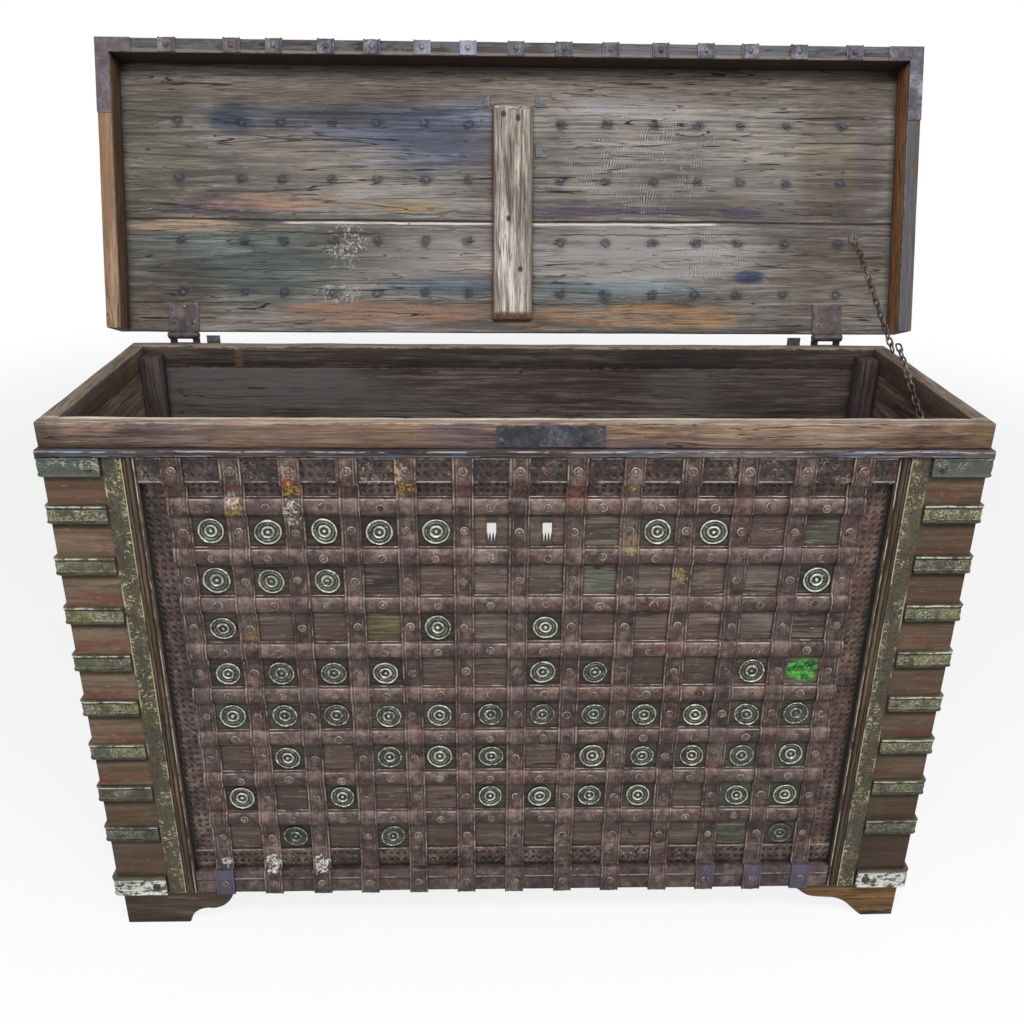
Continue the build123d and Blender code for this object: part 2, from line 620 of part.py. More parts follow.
# angle plates under the two front corners of the skirt
lid_plate = along_z(
    ((-LID_X, LID_FRONT), (-LID_X + LID_PLATE_FRONT, LID_FRONT),
     (-LID_X + LID_PLATE_FRONT, LID_IN_FRONT), (-LID_IN_X, LID_IN_FRONT),
     (-LID_IN_X, LID_FRONT + LID_PLATE_SIDE), (-LID_X, LID_FRONT + LID_PLATE_SIDE)),
    SKIRT_FOOT - LID_PLATE_T, SKIRT_FOOT)
lid["lid_corner_plates"] = group((lid_plate, other_side(lid_plate)))

# three-cornered clinch plates beside the head of the batten, left from the old hasp
triangle = along_z(((0, 0), (TRIANGLE, 0), (0, -TRIANGLE)),
                   LID_UNDER - LID_PLATE_T, LID_UNDER)
TRIANGLE_X = BATTEN_W / 2 + 6.0
triangle_ys = (AXIS_Y - BATTEN_END, AXIS_Y - BATTEN_END + 4 * TRIANGLE)
triangles = [Pos(TRIANGLE_X, y, 0) * triangle for y in triangle_ys]
lid["lid_clinch_plates"] = group(triangles + [other_side(triangles[0])])


# ================================================================ hinges
def knuckle(x0, x1):
    """A rolled knuckle round the hinge pin."""
    roll = Cylinder(KNUCKLE_R, x1 - x0) - Cylinder(PIN_R + PIN_PLAY, x1 - x0)
    return Pos((x0 + x1) / 2, AXIS_Y, AXIS_Z) * Rot(0, 90, 0) * roll


def lid_leaf(x):
    """Leaf under the lid, with the middle knuckle."""
    half = CENTRE_KNUCKLE / 2 - KNUCKLE_PLAY / 2
    plate = block(x - LEAF_W / 2, x + LEAF_W / 2, AXIS_Y - LEAF_H, LID_BACK,
                  LID_UNDER - LEAF_T, LID_UNDER)
    neck = block(x - half, x + half, LID_BACK, AXIS_Y, LID_UNDER - LEAF_T, LID_UNDER)
    bore = Pos(x, AXIS_Y, AXIS_Z) * Rot(0, 90, 0) * Cylinder(PIN_R + PIN_PLAY, LEAF_W)
    return plate + neck + knuckle(x - half, x + half) - bore


def back_leaf(x):
    """Leaf on the back of the chest, with the two outer knuckles."""
    inner = CENTRE_KNUCKLE / 2 + KNUCKLE_PLAY / 2
    leaf = block(x - LEAF_W / 2, x + LEAF_W / 2, DEPTH, DEPTH + LEAF_T,
                 RIM_TOP - LEAF_H, RIM_TOP)
    for x0, x1 in ((x - LEAF_W / 2, x - inner), (x + inner, x + LEAF_W / 2)):
        leaf += block(x0, x1, DEPTH, DEPTH + LEAF_T, RIM_TOP, AXIS_Z)
        leaf += knuckle(x0, x1)
    bore = Pos(x, AXIS_Y, AXIS_Z) * Rot(0, 90, 0) * Cylinder(PIN_R + PIN_PLAY, LEAF_W)
    return leaf - bore


hinge_xs = (LEFT_HINGE_X, RIGHT_HINGE_X)
lid["hinge_lid_leaf_left"] = lid_leaf(LEFT_HINGE_X)
lid["hinge_lid_leaf_right"] = lid_leaf(RIGHT_HINGE_X)
parts["hinge_back_leaf_left"] = back_leaf(LEFT_HINGE_X)
parts["hinge_back_leaf_right"] = back_leaf(RIGHT_HINGE_X)
parts["hinge_pins"] = group(
    Pos(x, AXIS_Y, AXIS_Z) * Rot(0, 90, 0) * Cylinder(PIN_R, LEAF_W + 2 * PIN_END)
    for x in hinge_xs)

lid_leaf_nails = []
back_leaf_nails = []
for x in hinge_xs:
    for dx, share in ((0, 0.85), (-0.3, 0.4), (0.3, 0.4)):
        lid_leaf_nails.append(facing(nail, "down", (
            x + dx * LEAF_W, AXIS_Y - share * LEAF_H, LID_UNDER - LEAF_T)))
        back_leaf_nails.append(facing(nail, "back", (
            x + dx * LEAF_W, DEPTH + LEAF_T, RIM_TOP - share * LEAF_H)))
lid["hinge_nails_lid"] = group(lid_leaf_nails)
parts["hinge_nails_back"] = group(back_leaf_nails)

# short iron tabs beside the hinges, all that is left of an older pair
parts["back_tabs"] = group(
    block(x - TAB_W / 2, x + TAB_W / 2, DEPTH, DEPTH + LEAF_T,
          RIM_TOP - TAB_H, RIM_TOP + TAB_RISE)
    for x in (LEFT_TAB_X, RIGHT_TAB_X))


# ================================================================ stay chain
def eye():
    """A driven eye: ring across X at the origin, shank and rosette towards +Z."""
    ring_r = EYE_BORE_R + EYE_WIRE_R
    ring = Rot(0, 90, 0) * Torus(ring_r, EYE_WIRE_R)
    shank_l = EYE_STAND - EYE_PLATE_T - ring_r
    shank = Pos(0, 0, ring_r + shank_l / 2) * Cylinder(EYE_WIRE_R, shank_l + EYE_WIRE_R)
    plate = Pos(0, 0, EYE_STAND - EYE_PLATE_T / 2) * Cylinder(EYE_PLATE_D / 2, EYE_PLATE_T)
    return ring + shank + plate


LID_EYE_Y = AXIS_Y - LID_EYE_UP
lid["lid_chain_eye"] = Pos(LID_EYE_X, LID_EYE_Y, LID_UNDER - EYE_STAND) * eye()
WALL_EYE_Y = INSIDE_FRONT + POST + EYE_STAND
parts["wall_chain_eye"] = (
    Pos(WALL_EYE_X, WALL_EYE_Y, WALL_EYE_Z) * Rot(90, 0, 0) * eye())


def link():
    """One oval link in the XY plane, long along Y."""
    bend_r = (LINK_W - LINK_D) / 2
    straight = LINK_L - LINK_W
    section = Pos(bend_r, 0, 0) * Rot(90, 0, 0) * Circle(LINK_D / 2)
    bend = Pos(0, straight / 2, 0) * revolve(section, Axis.Z, 180)
    rod = Rot(90, 0, 0) * Cylinder(LINK_D / 2, straight)
    return (bend + Rot(0, 0, 180) * bend
            + Pos(bend_r, 0, 0) * rod + Pos(-bend_r, 0, 0) * rod)


def chain_run(start, end, count):
    """Links from an eye at start towards end, each turned a quarter from the last."""
    along = (end - start).normalized()
    level = (Vector(1, 0, 0) - along * along.X).normalized()
    upright_way = level.cross(along)
    first = LINK_L / 2 - LINK_D / 2
    step = LINK_L - 2 * LINK_D - LINK_PLAY
    one = link()
    run = []
    for index in range(count):
        centre = start + along * (first + index * step)
        if index % 2 == 0:
            place = Plane(origin=centre, x_dir=level, z_dir=upright_way)
        else:
            place = Plane(origin=centre, x_dir=-upright_way, z_dir=level)
        run.append(place.location * one)
    return group(run)


# the eye under the lid, with the lid thrown back
lean = math.radians(OPEN_ANGLE - 90)
eye_out = KNUCKLE_R - EYE_STAND
lid_eye = Vector(
    LID_EYE_X,
    AXIS_Y + LID_EYE_UP * math.sin(lean) + eye_out * math.cos(lean),
    AXIS_Z + LID_EYE_UP * math.cos(lean) - eye_out * math.sin(lean))
wall_eye = Vector(WALL_EYE_X, WALL_EYE_Y, WALL_EYE_Z)
meeting_y = (lid_eye.Y + wall_eye.Y) / 2
meeting_z = (lid_eye.Z + wall_eye.Z) / 2 - CHAIN_SAG
parts["chain_lower"] = chain_run(
    wall_eye, Vector(WALL_EYE_X, meeting_y, meeting_z), LOWER_LINKS)
parts["chain_upper"] = chain_run(
    lid_eye, Vector(UPPER_CHAIN_END_X, meeting_y, meeting_z), UPPER_LINKS)


# ================================================================ export
for name, shape in lid.items():
    parts[name] = opened(shape)

outline = group(parts.values()).bounding_box()
centring = Pos(0, -(outline.min.Y + outline.max.Y) / 2, 0)

os.makedirs("parts", exist_ok=True)
for name, shape in parts.items():
    export_step(centring * shape, f"parts/{name}.step")

print("centring y", centring.position.Y)
print("hinge axis y z", AXIS_Y + centring.position.Y, AXIS_Z)
print("lid eye y z", lid_eye.Y + centring.position.Y, lid_eye.Z)
print("wall eye y z", wall_eye.Y + centring.position.Y, wall_eye.Z)
print("meeting y z", meeting_y + centring.position.Y, meeting_z)
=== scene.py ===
import bmesh
import bpy
import math
import random
from mathutils import Matrix, Vector


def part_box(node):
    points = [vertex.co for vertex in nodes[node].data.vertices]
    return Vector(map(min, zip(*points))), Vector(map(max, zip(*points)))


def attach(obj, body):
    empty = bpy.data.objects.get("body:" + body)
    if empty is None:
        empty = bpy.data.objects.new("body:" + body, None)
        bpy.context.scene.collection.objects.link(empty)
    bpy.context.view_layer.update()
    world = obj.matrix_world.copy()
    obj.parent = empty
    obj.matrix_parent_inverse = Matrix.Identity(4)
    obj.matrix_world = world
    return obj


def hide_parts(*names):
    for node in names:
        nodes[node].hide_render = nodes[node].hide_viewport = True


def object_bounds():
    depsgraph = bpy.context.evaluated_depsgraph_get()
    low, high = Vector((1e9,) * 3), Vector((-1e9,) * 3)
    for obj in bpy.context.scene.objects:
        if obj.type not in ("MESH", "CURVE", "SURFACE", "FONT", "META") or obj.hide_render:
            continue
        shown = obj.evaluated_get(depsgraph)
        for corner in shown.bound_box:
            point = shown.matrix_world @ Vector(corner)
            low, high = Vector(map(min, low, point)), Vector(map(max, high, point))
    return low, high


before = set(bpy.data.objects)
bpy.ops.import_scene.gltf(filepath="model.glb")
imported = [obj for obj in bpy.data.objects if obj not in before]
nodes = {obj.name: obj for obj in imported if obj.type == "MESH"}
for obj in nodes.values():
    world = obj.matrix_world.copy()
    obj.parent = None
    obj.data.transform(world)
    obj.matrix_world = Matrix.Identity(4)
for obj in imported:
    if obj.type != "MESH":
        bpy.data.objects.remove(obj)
cad_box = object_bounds()
random.seed(7)

# ------------------------------------------------------------------ places, in millimetres
# X from the middle of the chest, Y from its front face, Z from the floor
BODY_X = 700.0       # half the width of the body
LATTICE_X = 527.0    # half the width of the strap lattice
PANEL_Y = 14.0       # face of the recessed boards
LIP_Z = 892.0        # underside of the lip
BORDER_Z = 160.0     # foot of the lattice's cells
BODY_Z = 74.0        # underside of the body, on its feet
LATTICE_TOP = 825.0
STRAP_W = 32.0
COLUMNS = 12
ROWS = 8
PITCH_X = (2 * LATTICE_X - STRAP_W) / COLUMNS
PITCH_Z = (LATTICE_TOP - BORDER_Z) / ROWS
IRON_T = 2.5         # sheet iron
LEVEL_OUT = 8.0      # rise of an upright strap where it rolls over a level one
STRAP_RIVET_ENDS = ((-6, 871, 1.1), (-5.5, 97, 1.0))     # Y, Z and size, above and below
BEAD_X = 572.0
EMBOSS_X = 597.0
TRIM_T = 1.4
HINGE_Y = 476.0
HINGE_Z = 959.0
OPEN_ANGLE = 108.0
LID_UNDER = 966.0
LID_TOP = 988.0
LID_FRONT = -27.0
SKIRT_FOOT = 908.0
LID_STRAP_PITCH = 86.2857
LID_STRAP_BACK = 438.0
LID_STRAP_TURN_IN = 22.0
# how far each strap sits to the right of its even place
LID_STRAP_OFFS = (0, 26, 13, 17, 11, 12, 6, 4, 2, -2, 0, -6, -14, -13, 0)
LID_STRAP_XS = [(index - len(LID_STRAP_OFFS) // 2) * LID_STRAP_PITCH + off
                for index, off in enumerate(LID_STRAP_OFFS)]
LID_NAIL_ROWS = (78, 171, 280, 380)     # from the hinge
BATTEN_X = 49.0      # half the width that the batten keeps free of nails
BAND_TOP = 801.5
BAND_PITCH = 84.857
BANDS = 8
BAND_INNER_X = 614.0
BAND_REACH = 107.0   # back along the side
CORNER_ROUND = 3.0
BAND_RIVET_X = 630.0
BAND_RIVET_Y = 94.0
CAP_Z = 877.0
BASE_BAND_Z = 93.0
WALL_JOINTS = (281.5, 489.0, 696.5)     # between the front boards
# in the frame's metres: the chest's front face, and the inner face of the front rim
FRONT_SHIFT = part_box("rim_front")[0][1]
RIM_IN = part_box("rim_front")[1][1]
X, Y, Z = range(3)


def at(x, y, z):
    """A place on the chest in the frame's metres."""
    return Vector((x / 1000, y / 1000 + FRONT_SHIFT, z / 1000))


HINGE = at(0, HINGE_Y, HINGE_Z)
LID_TURN = (Matrix.Translation(HINGE) @ Matrix.Rotation(math.radians(-OPEN_ANGLE), 4, "X")
            @ Matrix.Translation(-HINGE))


def column_x(column):
    """The middle of a column of cells, counted from 1 at the left."""
    return (column - (COLUMNS + 1) / 2) * PITCH_X


def row_z(row):
    """The middle of a row of cells, counted from 1 at the top."""
    return LATTICE_TOP - (row - 1) * PITCH_Z - STRAP_W - (PITCH_Z - STRAP_W) / 2


def cross_z(index):
    """The middle of a level strap, counted from 0 at the top."""
    return LATTICE_TOP - STRAP_W / 2 - index * PITCH_Z


def upright_x(index):
    """The middle of an upright strap, counted from 0 at the left."""
    return (index - COLUMNS / 2) * PITCH_X


# ------------------------------------------------------------------ camera
VIEW_TURN = (1.81, 24.58, 0.66)     # degrees to the right, down and rolled
VIEW_PLACE = (-57.7, -1467.6, 1412.9)
FOCAL_LENGTH = 1055.6 / 1024        # in widths of the picture, as is the shift
VIEW_SHIFT = 38 / 1024
FILM_WIDTH = 36


def set_camera():
    """From the front, at the height of the open lid, looking down into the chest."""
    yaw, pitch, roll = (math.radians(angle) for angle in VIEW_TURN)
    forward = Vector((math.sin(yaw) * math.cos(pitch), math.cos(yaw) * math.cos(pitch),
                      -math.sin(pitch)))
    level = Vector((math.cos(yaw), -math.sin(yaw), 0))
    rise = level.cross(forward)
    right = level * math.cos(roll) + rise * math.sin(roll)
    up = rise * math.cos(roll) - level * math.sin(roll)
    lens = bpy.data.cameras.new("camera")
    lens.sensor_width = FILM_WIDTH
    lens.lens = FILM_WIDTH * FOCAL_LENGTH
    lens.shift_y = VIEW_SHIFT
    lens.clip_start = 0.05
    camera = bpy.data.objects.new("camera", lens)
    bpy.context.collection.objects.link(camera)
    turn = Matrix((right, up, -forward)).transposed().to_4x4()
    camera.matrix_world = Matrix.Translation(at(*VIEW_PLACE)) @ turn
    bpy.context.scene.camera = camera


# ------------------------------------------------------------------ shader writing
def tone(code):
    """A colour as it is seen, written as six hex digits, made linear."""
    values = [int(code[i:i + 2], 16) / 255 for i in (0, 2, 4)]
    return tuple(v / 12.92 if v <= 0.04045 else ((v + 0.055) / 1.055) ** 2.4
                 for v in values) + (1.0,)


class Wire:
    """One socket's value. Sums on it add Math nodes."""

    def __init__(self, owner, socket):
        self.owner = owner
        self.socket = socket

    def _math(self, operation, *values):
        return self.owner.node("ShaderNodeMath", {"operation": operation},
                               dict(enumerate(values)))

    def __add__(self, other):
        return self._math("ADD", self, other)

    __radd__ = __add__

    def __sub__(self, other):
        return self._math("SUBTRACT", self, other)

    def __rsub__(self, other):
        return self._math("SUBTRACT", other, self)

    def __mul__(self, other):
        return self._math("MULTIPLY", self, other)

    __rmul__ = __mul__

    def __truediv__(self, other):
        return self._math("DIVIDE", self, other)

    def __pow__(self, other):
        return self._math("POWER", self, other)

    def __abs__(self):
        return self._math("ABSOLUTE", self)

    def __mod__(self, other):
        return self._math("FLOORED_MODULO", self, other)

    def least(self, other):
        return self._math("MINIMUM", self, other)

    def most(self, other):
        return self._math("MAXIMUM", self, other)

    def sine(self):
        return self._math("SINE", self)


class Nodes:
    """A node tree being written."""

    def __init__(self, tree):
        self.tree = tree
        tree.nodes.clear()

    def node(self, kind, settings, values, out=0):
        """Add a node: its type, its settings, its sockets' values or wires."""
        added = self.tree.nodes.new(kind)
        for key, value in settings.items():
            if key == "stops":
                ramp = added.color_ramp
                while len(ramp.elements) < len(value):
                    ramp.elements.new(0.5)
                for element, (spot, colour) in zip(ramp.elements, value):
                    element.position = spot
                    element.color = colour
            else:
                setattr(added, key, value)
        for key, value in values.items():
            if isinstance(key, int):
                socket = added.inputs[key]
            else:
                socket = next((s for s in added.inputs if s.identifier == key),
                              None) or added.inputs[key]
            if isinstance(value, Wire):
                self.tree.links.new(value.socket, socket)
            else:
                socket.default_value = value
        if isinstance(out, str):
            return Wire(self, next(s for s in added.outputs if s.identifier == out))
        return Wire(self, added.outputs[out])

    def show(self, shader, kind="ShaderNodeOutputMaterial"):
        """Send a shader to the tree's output."""
        output = self.tree.nodes.new(kind)
        self.tree.links.new(shader.socket, output.inputs["Surface"])


class Finish(Nodes):
    """A surface being mixed. close() makes the shader.

    A finish for the lid is laid out as if the lid were shut.
    """

    def __init__(self, name, lid=False):
        self.material = bpy.data.materials.new(name)
        self.material.use_nodes = True
        super().__init__(self.material.node_tree)
        self.place = self.node("ShaderNodeTexCoord", {}, {}, "Object")
        if lid:
            back = LID_TURN.inverted()
            self.place = self.node(
                "ShaderNodeMapping", {"vector_type": "POINT"},
                {"Vector": self.place, "Location": back.translation,
                 "Rotation": back.to_euler()})
        self.x, self.y, self.z = (
            self.node("ShaderNodeSeparateXYZ", {}, {"Vector": self.place}, out)
            for out in range(3))

    def stretched(self, scale, offset):
        return self.node("ShaderNodeMapping", {"vector_type": "POINT"},
                         {"Vector": self.place, "Scale": scale, "Location": offset})

    def cloud(self, scale, detail=4.0, rough=0.55, offset=(0, 0, 0), twist=0.0):
        """Noise from 0 to 1. scale is one number or one for each axis, per metre."""
        if isinstance(scale, (int, float)):
            scale = (scale, scale, scale)
        return self.node("ShaderNodeTexNoise", {"noise_dimensions": "3D"},
                         {"Vector": self.stretched(scale, offset), "Scale": 1.0,
                          "Detail": detail, "Roughness": rough, "Distortion": twist})

    def cells(self, scale, offset):
        """Distance to the middle of the nearest of many small cells."""
        return self.node("ShaderNodeTexVoronoi", {"feature": "F1"},
                         {"Vector": self.stretched(scale, offset), "Scale": 1.0})

    def step(self, value, low, high, to_low=0.0, to_high=1.0):
        """A smooth change from to_low at low to to_high at high."""
        return self.node("ShaderNodeMapRange", {"interpolation_type": "SMOOTHSTEP"},
                         {"Value": value, "From Min": low, "From Max": high,
                          "To Min": to_low, "To Max": to_high})

    def waver(self, reach, *cloud):
        """A wandering offset, up to half of reach either way."""
        return (self.cloud(*cloud) - 0.5) * reach

    def blotch(self, low, high, *cloud):
        """Patches of a cloud: 0 where it is under low, 1 where it is over high."""
        return self.step(self.cloud(*cloud), low, high)

    def mix(self, share, one, two, how="MIX"):
        """Two colours, each a wire or six hex digits, mixed by a share of the second."""
        one, two = (tone(colour) if isinstance(colour, str) else colour
                    for colour in (one, two))
        return self.node("ShaderNodeMix", {"data_type": "RGBA", "blend_type": how},
                         {"Factor_Float": share, "A_Color": one, "B_Color": two},
                         "Result_Color")

    def coat(self, share, colour, grain, dark, light):
        """Lay over a colour another whose tone follows the grain."""
        return self.mix(share, colour, self.mix(grain, dark, light))

    def ramp(self, value, *stops):
        """A colour by value. stops: (value, six hex digits)."""
        stops = [(spot, tone(code)) for spot, code in stops]
        return self.node("ShaderNodeValToRGB", {"stops": stops}, {"Fac": value})

    def near(self, value, pitch, start):
        """Millimetres from the nearest line of an even row. pitch and start likewise."""
        return ((value * 1000 - start + pitch / 2) % pitch) - pitch / 2

    def line(self, value, middle, half, soft=0.6):
        """1 within half of the middle, falling off over soft. All in one unit."""
        return self.step(abs(value - middle), half + soft, half - soft * 0.3)

    def patch(self, x, z, wide, high, ragged=0.5, lid_reach=None, soft=0.2):
        """A ragged spot, 1 inside and 0 outside, in millimetres.

        It lies on the front at x and z, or on the lid at x and lid_reach from the hinge.
        """
        across = (self.x - x / 1000) / (wide / 2000)
        if lid_reach is None:
            along = (self.z - z / 1000) / (high / 2000)
            scale, detail = 140, 4
        else:
            along = (self.y - at(0, HINGE_Y - lid_reach, 0).y) / (high / 2000)
            scale, detail = (9, 60, 9), 3
        reach = across * across + along * along
        edge = self.cloud(scale, detail, 0.6, (x * 0.01, wide * 0.1, z * 0.01))
        return self.step(reach + (edge - 0.5) * 8 * ragged, 0.95 + soft, 0.95 - soft)

    def shade_and_grime(self, colour, reach, open_from, share, code):
        """Painted shade and grime: darken corners and crevices by how closed in they are. From
        open_from up, the surface counts as open.
        """
        air = self.node("ShaderNodeAmbientOcclusion", {"samples": 6},
                        {"Distance": reach}, 1)
        return self.mix(self.step(air, open_from, open_from - 0.5) * share, colour, code)

    def edges(self, radius, gain=3.0):
        """1 on an edge, 0 on the flat."""
        soft = self.node("ShaderNodeBevel", {"samples": 4}, {"Radius": radius})
        hard = self.node("ShaderNodeNewGeometry", {}, {}, 1)
        along = self.node("ShaderNodeVectorMath", {"operation": "DOT_PRODUCT"},
                          {0: soft, 1: hard}, 1)
        return self.step((1 - along) * gain, 0.0, 1.0)

    def close(self, colour, rough, height, metal=0.0, depth=0.001, strength=1.0,
              specular=0.5):
        """Make the shader. height is pressed in, up to depth in metres."""
        bump = self.node("ShaderNodeBump", {},
                         {"Height": height, "Distance": depth, "Strength": strength})
        self.show(self.node("ShaderNodeBsdfPrincipled", {}, {
            "Base Color": colour, "Roughness": rough, "Metallic": metal,
            "Specular IOR Level": specular, "Normal": bump}))
        return self.material


# ------------------------------------------------------------------ finishes
ALONG = {"x": (0.045, 1, 1), "y": (1, 0.045, 1), "z": (1, 1, 0.045)}


def old_wood(name, along, dark, middle, light, lid=False, bloom=None, bloom_share=0.4,
             edge=None, offset=(0, 0, 0), contrast=1.0, extra=None, cracks=1.0, fine=1.0):
    """Weathered plank: fibres, figure, checks, stains, pale scratches and rubbed edges, with
    painted shade and grime in its corners.

    bloom is the colour of old paint in drifts, edge that of rubbed arrises, and extra
    lays the piece's own marks over the wood.
    """
    f = Finish(name, lid)
    stretch = ALONG[along]
    fibre = f.cloud([380 * s for s in stretch], 4, 0.75, offset)
    coarse = f.cloud([110 * s for s in stretch], 4, 0.7, offset, 0.3)
    figure = f.cloud([14 * s for s in stretch], 3, 0.5, offset, 0.5)
    rings = (figure * 70).sine() * 0.5 + 0.5
    stain = f.cloud([7 * s ** 0.4 for s in stretch], 5, 0.65, offset)
    worth = (fibre - 0.5) * 1.5 * fine + (coarse - 0.5) * 1.3 * fine + (rings - 0.5) * 0.2
    worth = (worth + (stain - 0.5) * 1.6) * contrast + 0.5
    colour = f.ramp(worth, (0.12, dark), (0.48, middle), (0.88, light))
    if bloom:
        blue = f.blotch(0.62 - bloom_share * 0.4, 0.85 - bloom_share * 0.4,
                        [5 * s ** 0.3 for s in stretch], 5, 0.6, (3, 1, 2))
        colour = f.coat(blue * 0.8, colour, fibre, bloom, light)
    if extra:
        colour = extra(f, colour, fibre)
    pale = f.blotch(0.6, 0.7, [210 * s ** 0.8 for s in stretch], 3, 0.7, (5, 3, 8))
    colour = f.mix(pale * f.step(stain, 0.42, 0.6) * 0.5 * fine, colour, light)
    if edge:
        rubbed = f.edges(0.004) * f.blotch(0.42, 0.58, 70, 4, 0.65)
        colour = f.mix(rubbed * 0.85, colour, edge)
    split = f.cloud([46 * s for s in stretch], 3, 0.5, offset, 0.8)
    check = f.step(abs(split - 0.5), 0.010, 0.002) * f.step(stain, 0.42, 0.56)
    hair = f.cloud([120 * s for s in stretch], 3, 0.5, (2, 4, 6), 0.5)
    hair = f.step(abs(hair - 0.5), 0.012, 0.003) * f.step(coarse, 0.46, 0.58)
    check = check.most(hair * 0.7) * cracks
    colour = f.mix(check * 0.85, colour, "1a1210")
    # painted shade and grime in corners and crevices
    colour = f.shade_and_grime(colour, 0.02, 0.8, 0.8, "191210")
    height = fibre * 0.6 + coarse * 0.5 + rings * 0.12 - check * 1.2
    return f.close(colour, f.step(fibre, 0.3, 0.7, 0.68, 0.9), height,
                   depth=0.0016, strength=0.7, specular=0.3)


def old_iron(name, dark="1f1513", middle="523f39", light="8b776b", rust="6f3529",
             rust_share=0.5, lid=False, height_extra=None, extra=None, rough=0.5,
             offset=(0, 0, 0), flecks="c3b4a4"):
    """Rusted strap iron: brown and violet, rubbed pale on its ridges, with a painted highlight
    on its edges and painted shade in its crevices.

    extra lays the piece's own marks over the iron, height_extra presses it.
    """
    f = Finish(name, lid)
    scale = f.cloud(80, 5, 0.7, offset)
    grain = f.cloud(330, 3, 0.75, offset)
    drift = f.cloud(20, 5, 0.7, offset)
    worth = (scale - 0.5) * 1.0 + (grain - 0.5) * 0.9 + (drift - 0.5) * 1.9 + 0.46
    colour = f.ramp(worth, (0.12, dark), (0.48, middle), (0.92, light))
    red = f.blotch(0.68 - rust_share * 0.3, 0.84 - rust_share * 0.3, 26, 5, 0.7, (4, 4, 1))
    colour = f.coat(red * 0.65, colour, grain, "41231c", rust)
    violet = f.blotch(0.52, 0.68, 17, 4, 0.6, (9, 2, 6))
    colour = f.coat(violet * 0.42, colour, grain, "342b31", "6b5a60")
    if extra:
        colour = extra(f, colour, grain)
    chip = f.cloud(130, 4, 0.75, (6, 1, 3), 1.4)
    where = f.blotch(0.5, 0.6, 30, 4, 0.7, (2, 8, 5))
    colour = f.mix(f.step(chip, 0.62, 0.66) * where * 0.45, colour, flecks)
    colour = f.mix(f.step(chip, 0.4, 0.34) * where * 0.45, colour, "1a1210")
    # edges rubbed pale, partly a painted highlight
    rubbed = f.edges(0.0025, 4.0) * f.blotch(0.42, 0.6, 120, 3, 0.7, (2, 0, 2))
    colour = f.mix(rubbed * 0.8, colour, light)
    # painted shade and grime in corners and crevices
    colour = f.shade_and_grime(colour, 0.012, 0.85, 0.8, "170f0e")
    height = scale * 0.6 + grain * 0.45
    if height_extra:
        height = height + height_extra(f)
    return f.close(colour, f.step(grain, 0.3, 0.7, rough - 0.1, rough + 0.2), height,
                   metal=0.2, depth=0.0015, strength=0.75)


def painted_iron(name, extra, offset=(0, 0, 0)):
    """Iron that still carries worn green and olive paint, pale where it is rubbed and as a
    painted highlight on its edges, with painted shade in its crevices.
    """
    f = Finish(name)
    scale = f.cloud(80, 5, 0.7, offset)
    grain = f.cloud(330, 3, 0.75, offset)
    drift = f.cloud(14, 4, 0.6, offset)
    worth = (scale - 0.5) * 1.1 + (grain - 0.5) * 1.0 + (drift - 0.5) * 1.2 + 0.45
    colour = f.ramp(worth, (0.12, "1f1c16"), (0.48, "514c39"), (0.9, "8d8870"))
    olive = f.blotch(0.5, 0.62, 20, 4, 0.65, (1, 6, 2))
    colour = f.coat(olive * 0.7, colour, grain, "3b3c14", "8a8434")
    green = f.blotch(0.54, 0.66, 28, 4, 0.65, (9, 2, 5))
    colour = f.coat(green * 0.7, colour, grain, "1f3129", "54725c")
    colour = extra(f, colour, grain)
    # edges rubbed pale, partly a painted highlight
    rubbed = f.edges(0.0016, 2.0) * f.blotch(0.5, 0.6, 110, 3, 0.65, (2, 0, 2))
    colour = f.mix(rubbed * 0.55, colour, "c9c6ae")
    # painted shade and grime in corners and crevices
    colour = f.shade_and_grime(colour, 0.012, 0.85, 0.85, "15110d")
    return f.close(colour, f.step(grain, 0.3, 0.7, 0.42, 0.7), scale * 0.7 + grain * 0.5,
                   metal=0.1, depth=0.0015, strength=0.75)


# ------------------------------------------------------------------ modelling helpers
def calm():
    """Leave edit mode and let go of everything."""
    if bpy.context.object and bpy.context.object.mode != "OBJECT":
        bpy.ops.object.mode_set(mode="OBJECT")
    bpy.ops.object.select_all(action="DESELECT")


def only(piece):
    """Take hold of one piece."""
    calm()
    piece.select_set(True)
    bpy.context.view_layer.objects.active = piece


def worked(piece, kind, **settings):
    """Put a modifier on a piece and apply it."""
    only(piece)
    modifier = piece.modifiers.new(kind.lower(), kind)
    for key, value in settings.items():
        setattr(modifier, key, value)
    bpy.ops.object.modifier_apply(modifier=modifier.name)


def dented(piece, amount, size):
    """Hammered and worn unevenness."""
    name = f"dents_{size}"
    texture = bpy.data.textures.get(name)
    if texture is None:
        texture = bpy.data.textures.new(name, "CLOUDS")
        texture.noise_scale = size
        texture.noise_depth = 2
    worked(piece, "DISPLACE", texture=texture, texture_coords="LOCAL", strength=amount,
           mid_level=0.5, direction="NORMAL")


def smooth(piece, angle=38):
    """Shade as one surface, except over edges sharper than so many degrees."""
    only(piece)
    bpy.ops.object.shade_smooth_by_angle(angle=math.radians(angle))


def second(piece):
    """A copy of a piece, with a mesh of its own."""
    other = piece.copy()
    other.data = piece.data.copy()
    bpy.context.collection.objects.link(other)
    return other


def joined(name, *pieces):
    """Several pieces made one."""
    calm()
    for piece in pieces:
        piece.select_set(True)
    bpy.context.view_layer.objects.active = pieces[0]
    bpy.ops.object.join()
    pieces[0].name = name
    return pieces[0]


